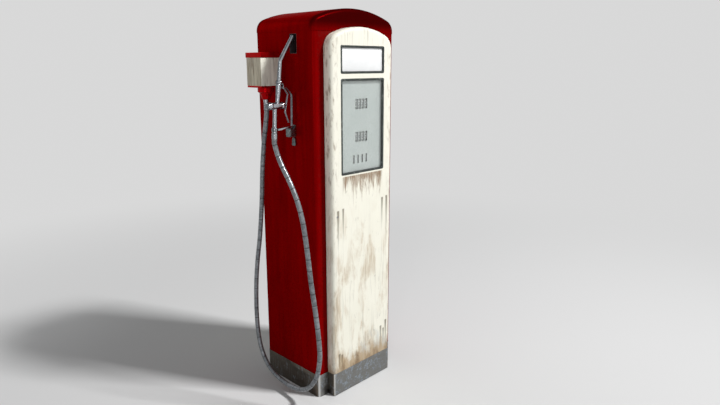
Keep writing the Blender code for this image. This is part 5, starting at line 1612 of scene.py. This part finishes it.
@dataclass
class Hose:
    """The delivery hose: from the ferrule down in a loop, and up to the nozzle's swivel."""

    diameter: float = 0.024
    stub: float = 0.020
    smoothing: float = 0.060
    ring_step: float = 0.0036
    groove: float = 0.0007
    groove_edge: Pair = (0.455, 0.475)
    sides: int = 20
    route: tuple[Triple, ...] = (
        (-0.342, 0.075, 1.440), (-0.343, 0.091, 1.370), (-0.345, 0.114, 1.218), (-0.348, 0.131, 1.015),
        (-0.351, 0.155, 0.833), (-0.354, 0.184, 0.681), (-0.357, 0.202, 0.515), (-0.360, 0.201, 0.325),
        (-0.362, 0.172, 0.183), (-0.364, 0.094, 0.090), (-0.366, -0.023, 0.056), (-0.367, -0.143, 0.060),
        (-0.369, -0.240, 0.107), (-0.371, -0.308, 0.200), (-0.373, -0.335, 0.304), (-0.375, -0.335, 0.396),
        (-0.378, -0.317, 0.544), (-0.381, -0.292, 0.694), (-0.385, -0.269, 0.877), (-0.388, -0.245, 1.007),
        (-0.391, -0.211, 1.102), (-0.395, -0.162, 1.188), (-0.399, -0.110, 1.262), (-0.4015, -0.081, 1.320),
    )
    bend_start: Triple = (-0.370, -0.300, 0.4543)
    bend_end: Triple = (-0.370, -0.3793, 0.4820)

    def centre_line(self) -> list[Vector]:
        """The hose's centre line, as the frame has it."""
        start = Vector((*Outlet.swivel, Box.of("hose").hi.z))
        foot, axis = handle_line()
        end = foot + axis * (SWIVEL_LENGTH + 2 * GAP)
        guide = [start, start - UP * self.stub, *self.route, end + axis * self.stub, end]
        return [start, *even_points(smooth_curve(guide), self.smoothing), end]

    def build(self, pieces_on_it: Sequence[str]) -> None:
        """The grooved tube that runs between the case and the nozzle.

        Args:
            pieces_on_it: names of the fittings at its ends; not used.
        """
        spine = self.centre_line()
        fine = even_points(smooth_curve([2 * spine[0] - spine[1], *spine, 2 * spine[-1] - spine[-2]]), self.ring_step)
        lengths = travelled(fine)
        start, end = self.groove_edge
        radii = []
        for along in lengths:
            phase = abs((along / HOSE.spacing) % 1.0 - 0.5)
            radii.append(self.diameter / 2 - self.groove * max(0.0, min(1.0, (phase - start) / (end - start))))
        hose = Form.sweep(fine, radii, self.sides).object("delivery_hose")
        tree = KDTree(len(fine))
        for i, point in enumerate(fine):
            tree.insert(point, i)
        tree.balance()
        values = [lengths[tree.find(vert.co)[1]] for vert in hose.data.vertices]
        hose.data.attributes.new("along", "FLOAT", "POINT").data.foreach_set("value", values)
        dress_up(hose, HOSE, 60)
        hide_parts("hose")
        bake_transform(hose)


def travelled(points: Sequence[Vector]) -> list[float]:
    """The length of a line up to each of its points."""
    lengths = [0.0]
    for first, second in zip(points, points[1:]):
        lengths.append(lengths[-1] + (second - first).length)
    return lengths


def smooth_curve(route: Sequence[Spot], steps: int = 20) -> list[Vector]:
    """A smooth curve through points; the first and the last only aim its ends."""
    spots = [Vector(point) for point in route]
    fine = []
    for a, b, c, d in zip(spots, spots[1:], spots[2:], spots[3:]):
        for i in range(steps):
            t = i / steps
            fine.append(0.5 * (2 * b + (c - a) * t + (2 * a - 5 * b + 4 * c - d) * t * t
                               + (3 * b - a - 3 * c + d) * t**3))
    return [*fine, spots[-2]]


def even_points(fine: Sequence[Vector], step: float) -> list[Vector]:
    """Points at an even step along a line, both ends included."""
    lengths = travelled(fine)
    count = round(lengths[-1] / step)
    points, index = [], 0
    for i in range(count + 1):
        wanted = lengths[-1] * i / count
        while index < len(fine) - 2 and lengths[index + 1] < wanted:
            index += 1
        share = (wanted - lengths[index]) / (lengths[index + 1] - lengths[index])
        points.append(fine[index].lerp(fine[index + 1], share))
    return points


# ---------------------------------------------------------------- nozzle


@dataclass
class Nozzle:
    """The filling nozzle with its spout, valve body, guard, lever and swivel."""

    chamber_radius: float = 0.018
    chamber_near: float = 0.066
    chamber_far: float = 0.161
    spout_radius: float = 0.0105
    spout_bore: float = 0.0085
    spout_tip: Pair = (-0.004, 0.322)
    spout_bend: Pair = (0.074, 0.209)
    bend_radius: float = 0.03
    tip_ease: float = 0.0008
    nut_top: Pair = (0.0855, 0.116)
    nut_radius: float = 0.0158
    nut_length: float = 0.014
    nut_ease: float = 0.0014
    body_length: float = 0.100
    handle_radius: float = 0.011
    handle_waist: float = 0.0102
    handle_length: float = 0.1031
    stem_bore: float = 0.0044
    stem_bore_end: float = 0.118
    collar_radius: float = 0.0155
    voxel: float = 0.0009
    smoothing: int = 16
    sides: int = 40

    def build(self) -> None:
        """Builds the spout, casting, nut and swivel, then the guard, lever and stem."""
        self.spout()
        self.body()
        self.nut()
        self.swivel()
        for node, body in (("guard", "nozzle"), ("lever", "lever")):
            ease_node(node, f"nozzle_{node}", ALLOY, body, 0.0008, 50, 40)
        ease_node("valve_stem", "nozzle_valve_stem", TURNED, "valve_stem", 0.0003, 50)

    def below_nut(self, gap: float = 0.0) -> Vector:
        """The nut's lower end, or a point that much further down the spout's line."""
        return point_along(self.nut_top, self.spout_bend, -self.nut_length - gap)

    def spout(self) -> None:
        """The bent tube, with a bored, eased mouth."""
        corners = [nozzle_point(place) for place in (self.below_nut(), self.spout_bend, self.spout_tip)]
        tip, heading = corners[-1], (corners[-1] - corners[-2]).normalized()
        path = [*rounded_path(corners, self.bend_radius, 14)[:-1], tip - heading * self.tip_ease, tip]
        radii = [self.spout_radius] * (len(path) - 1) + [self.spout_radius - self.tip_ease]
        tube = Form.sweep(path, radii, self.sides).object("nozzle_spout")
        bore = Form.rod(tip - heading * 6 * REACH, tip + heading * REACH, self.spout_bore, self.sides)
        made = carve(tube, [bore.object("bore_tool")], Join.CUT)
        mount_piece(made, ALLOY, "nozzle", ["spout"], sharp=40)

    def body(self) -> None:
        """Socket, valve chamber and handle, melted together like one casting."""
        seat, tall = self.below_nut(GAP), self.body_length
        foot = point_along(seat, self.spout_bend, -tall)
        taper = [(0, 0), (0.0125, 0), (0.0135, 0.001), (0.0140, 0.012), (0.0115, 0.050), (0.0095, tall - 0.002),
                 (0.0075, tall), (0, tall)]
        r, far = self.chamber_radius, self.chamber_far - self.chamber_near
        barrel = [(0, 0), (r - 0.003, 0), (r - 0.001, 0.001), (r, 0.003), (r, 0.010), (r - 0.0016, 0.012),
                  (r - 0.0016, far - 0.026), (r, far - 0.024), (r, far - 0.013), (r - 0.001, far - 0.011),
                  (r - 0.003, far - 0.010), (r - 0.003, far - 0.002), (r - 0.005, far), (0, far)]
        wide, waist, end = self.handle_radius, self.handle_waist, self.handle_length
        grip = [(0, 0), (wide, 0), (waist, 0.040), (waist, 0.070), (wide, 0.095), (wide, end), (0, end)]
        made = Form.lathe(taper, nozzle_point(seat), nozzle_point(foot) - nozzle_point(seat), self.sides)
        tools = [Form.lathe(barrel, nozzle_point((self.chamber_near, 0)), (-1, 0, 0)),
                 Form.lathe(grip, nozzle_point(HANDLE_TOP), handle_line()[1], self.sides)]
        made = carve(made.object("nozzle_casting"), [tool.object("casting_tool") for tool in tools], Join.WELD)
        bore = Form.rod(nozzle_point((self.chamber_near - REACH, 0)), nozzle_point((self.stem_bore_end, 0)),
                        self.stem_bore, 24)
        carve(melt(made, self.voxel, self.smoothing), [bore.object("stem_bore_tool")], Join.CUT)
        mount_piece(made, ALLOY, "nozzle", ["nozzle_body"], sharp=50)

    def nut(self) -> None:
        """The eight-sided nut that clamps the spout."""
        top, bottom = nozzle_point(self.nut_top), nozzle_point(self.below_nut())
        length, r, bore, ease = (top - bottom).length, self.nut_radius, self.spout_radius + GAP, self.nut_ease
        profile = [(bore, 0), (r - ease, 0), (r, ease), (r, length - ease), (r - ease, length), (bore, length)]
        form = Form.lathe(profile, bottom, top - bottom, 8, bored=True)
        form.soften(0.0005, above=20).piece("spout_collar_nut", ALLOY, "nozzle", ["collar_nut"], sharp=25)

    def swivel(self) -> None:
        """The knurled collar and the ferrule below the handle."""
        r, (end, axis) = self.collar_radius, handle_line()
        profile = [(0, 0), (r - 0.0025, 0), (r - 0.001, 0.0008), (r - 0.001, 0.002)]
        for rib in range(5):
            base = 0.003 + rib * 0.0028
            profile += [(r - 0.0009, base), (r, base + 0.0007), (r, base + 0.0017), (r - 0.0009, base + 0.0024)]
        profile += [(r - 0.003, 0.0190), (r - 0.003, 0.0245), (r - 0.001, 0.026), (r - 0.0008, 0.031),
                    (r - 0.0018, 0.033), (r - 0.0018, 0.036), (r - 0.0008, 0.038), (r - 0.001, 0.047),
                    (r - 0.0025, SWIVEL_LENGTH), (0, SWIVEL_LENGTH)]
        form = Form.lathe(profile, end + axis * GAP, axis)
        form.piece("nozzle_hose_swivel", ALLOY, "nozzle", ["hose_swivel"], sharp=40)


# ---------------------------------------------------------------- what else is on the case


class Machinery:
    """The hook, the switch, the pocket and everything behind the doors."""

    nodes = (
        ("nozzle_hook", "holster_hook", HOOK_ALLOY, 0.0008),
        ("switch_lever", "switch_paddle", HOOK_ALLOY, 0.0007),
        ("spout_pocket", "pocket_liner", POCKET_PAINT, 0.0005),
        ("base_plate", "foot_plate", FRAME_PAINT, 0.0010),
        ("frame_channel_left", "left_upright", FRAME_PAINT, 0.0010),
        ("frame_channel_right", "right_upright", FRAME_PAINT, 0.0010),
        ("meter_shelf", "shelf_plate", FRAME_PAINT, 0.0010),
        ("head_plate", "top_tie_plate", FRAME_PAINT, 0.0008),
        ("register_frame", "register_cage", FRAME_PAINT, 0.0006),
        ("pumping_unit", "pump_casting", CASTING, 0.0030),
        ("motor", "motor_casting", CASTING, 0.0025),
        ("meter", "meter_casting", CASTING, 0.0020),
        ("pump_pulley", "pump_wheel", FRAME_PAINT, 0.0006),
        ("motor_pulley", "motor_wheel", FRAME_PAINT, 0.0006),
        ("drive_belt", "belt", RUBBER, 0.0010),
        ("inlet_pipe", "supply_pipe", TURNED, 0.0008),
        ("riser_pipe", "meter_riser", TURNED, 0.0008),
        ("outlet_pipe", "delivery_pipe", TURNED, 0.0008),
        ("lamp", "lamp_batten", OPAL, 0.0008),
    )
    turning = ("switch_lever", "pump_pulley", "motor_pulley")

    def build(self) -> None:
        """Finishes each node's own form with eased edges."""
        for node, name, finish, ease in self.nodes:
            ease_node(node, name, finish, node if node in self.turning else "case", ease, 48, 38)


# ---------------------------------------------------------------- studio


@dataclass
class Studio:
    """The pale floor, the soft lamps, the world and the camera."""

    floor: Colour = (0.71, 0.71, 0.71)
    floor_size: float = 40.0
    sky: Colour = (0.69, 0.69, 0.69)
    zenith: Colour = (0.36, 0.37, 0.38)
    rise: Pair = (0.15, 0.95)
    ambient: float = 0.37
    horizon: Pair = (1.2, 5.0)
    lens: float = 28.76
    sensor: float = 36.0
    spot: Triple = (-2.0814, -2.2853, 1.7283)
    tilt: float = 76.444
    yaw: float = -45.63
    lamps: tuple[tuple[str, Triple, float, Pair, float], ...] = (
        ("key_lamp", (4.1, -6.9, 10.0), 1.0, (1.5, 1.5), 1470.0),
        ("side_lamp", (-4.0, -3.1, 1.9), 1.5, (0.15, 2.6), 18.0),
        ("back_lamp", (-1.5, 4.2, 3.6), 1.2, (2.6, 2.6), 30.0),
    )

    def build(self) -> None:
        """Sets up everything round the object."""
        scene = bpy.context.scene
        scene.view_settings.view_transform = "Standard"
        self.ground()
        self.world(scene)
        for lamp in self.lamps:
            self.lamp(*lamp)
        camera = bpy.data.objects.new("camera", bpy.data.cameras.new("camera"))
        camera.data.lens, camera.data.sensor_width = self.lens, self.sensor
        camera.location = self.spot
        camera.rotation_euler = (math.radians(self.tilt), 0.0, math.radians(self.yaw))
        scene.collection.objects.link(camera)
        scene.camera = camera

    def ground(self) -> None:
        """A large pale floor that fades into the surround."""
        form = Form()
        bmesh.ops.create_grid(form.bm, x_segments=1, y_segments=1, size=self.floor_size)
        floor = form.object("floor")
        material = bpy.data.materials.new("floor")
        material.use_nodes = True
        nodes, graph = material.node_tree.nodes, Graph(material.node_tree)
        shader = nodes["Principled BSDF"]
        for name, value in (("Base Color", self.floor), ("Roughness", 0.85), ("Specular IOR Level", 0.1)):
            graph.feed(shader.inputs[name], value)
        away = graph.node("VectorMath", {0: graph.spot}, operation="LENGTH").outputs["Value"]
        glow = graph.node("Emission", {"Color": self.sky, "Strength": 1.0})
        mix = graph.node("MixShader", {0: graph.span(away, *self.horizon), 1: shader.outputs[0], 2: glow.outputs[0]})
        graph.feed(nodes["Material Output"].inputs["Surface"], mix.outputs[0])
        floor.data.materials.append(material)

    def world(self, scene: bpy.types.Scene) -> None:
        """A pale surround that lights the object less than it shows."""
        world = bpy.data.worlds.new("surround")
        world.use_nodes = True
        scene.world = world
        graph, back = Graph(world.node_tree), world.node_tree.nodes["Background"]
        rays = graph.node("LightPath").outputs
        seen = graph.add(*(rays[f"Is {kind} Ray"] for kind in ("Camera", "Glossy", "Transmission")))
        height = graph.parts(graph.spot.node.outputs["Generated"])[2]
        graph.feed(back.inputs["Color"], graph.blend(graph.span(height, *self.rise), self.sky, self.zenith))
        graph.feed(back.inputs["Strength"], graph.span(seen, 0.0, 1.0, self.ambient, 1.0, smooth=False))

    def lamp(self, name: str, spot: Triple, aim: float, size: Pair, power: float) -> None:
        """A soft panel lamp aimed at a height on the object's middle line."""
        data = bpy.data.lights.new(name, "AREA")
        data.shape, data.energy = "RECTANGLE", power
        data.size, data.size_y = size
        lamp = bpy.data.objects.new(name, data)
        lamp.location = spot
        lamp.rotation_euler = (aim * UP - Vector(spot)).to_track_quat("-Z", "Y").to_euler()
        bpy.context.scene.collection.objects.link(lamp)


def main() -> None:
    """Builds the whole scene in order."""
    logging.basicConfig(level=logging.INFO, format="%(name)s %(message)s")
    CaseSheets().build()
    windows = [Window("logo_frame", "logo_glass", OPAL, "logo"), Window("dial_bezel", "dial_glass", CLEAR, "dial")]
    Door("front_door").build([window.cutter() for window in windows])
    for window in windows:
        window.build()
    Door("rear_door", turned=True).build()
    Register().build()
    Outlet().build()
    Nozzle().build()
    Hose().build(("hose_top_ferrule", "nozzle_hose_swivel"))
    Machinery().build()
    Studio().build()


if __name__ == "__main__":
    main()
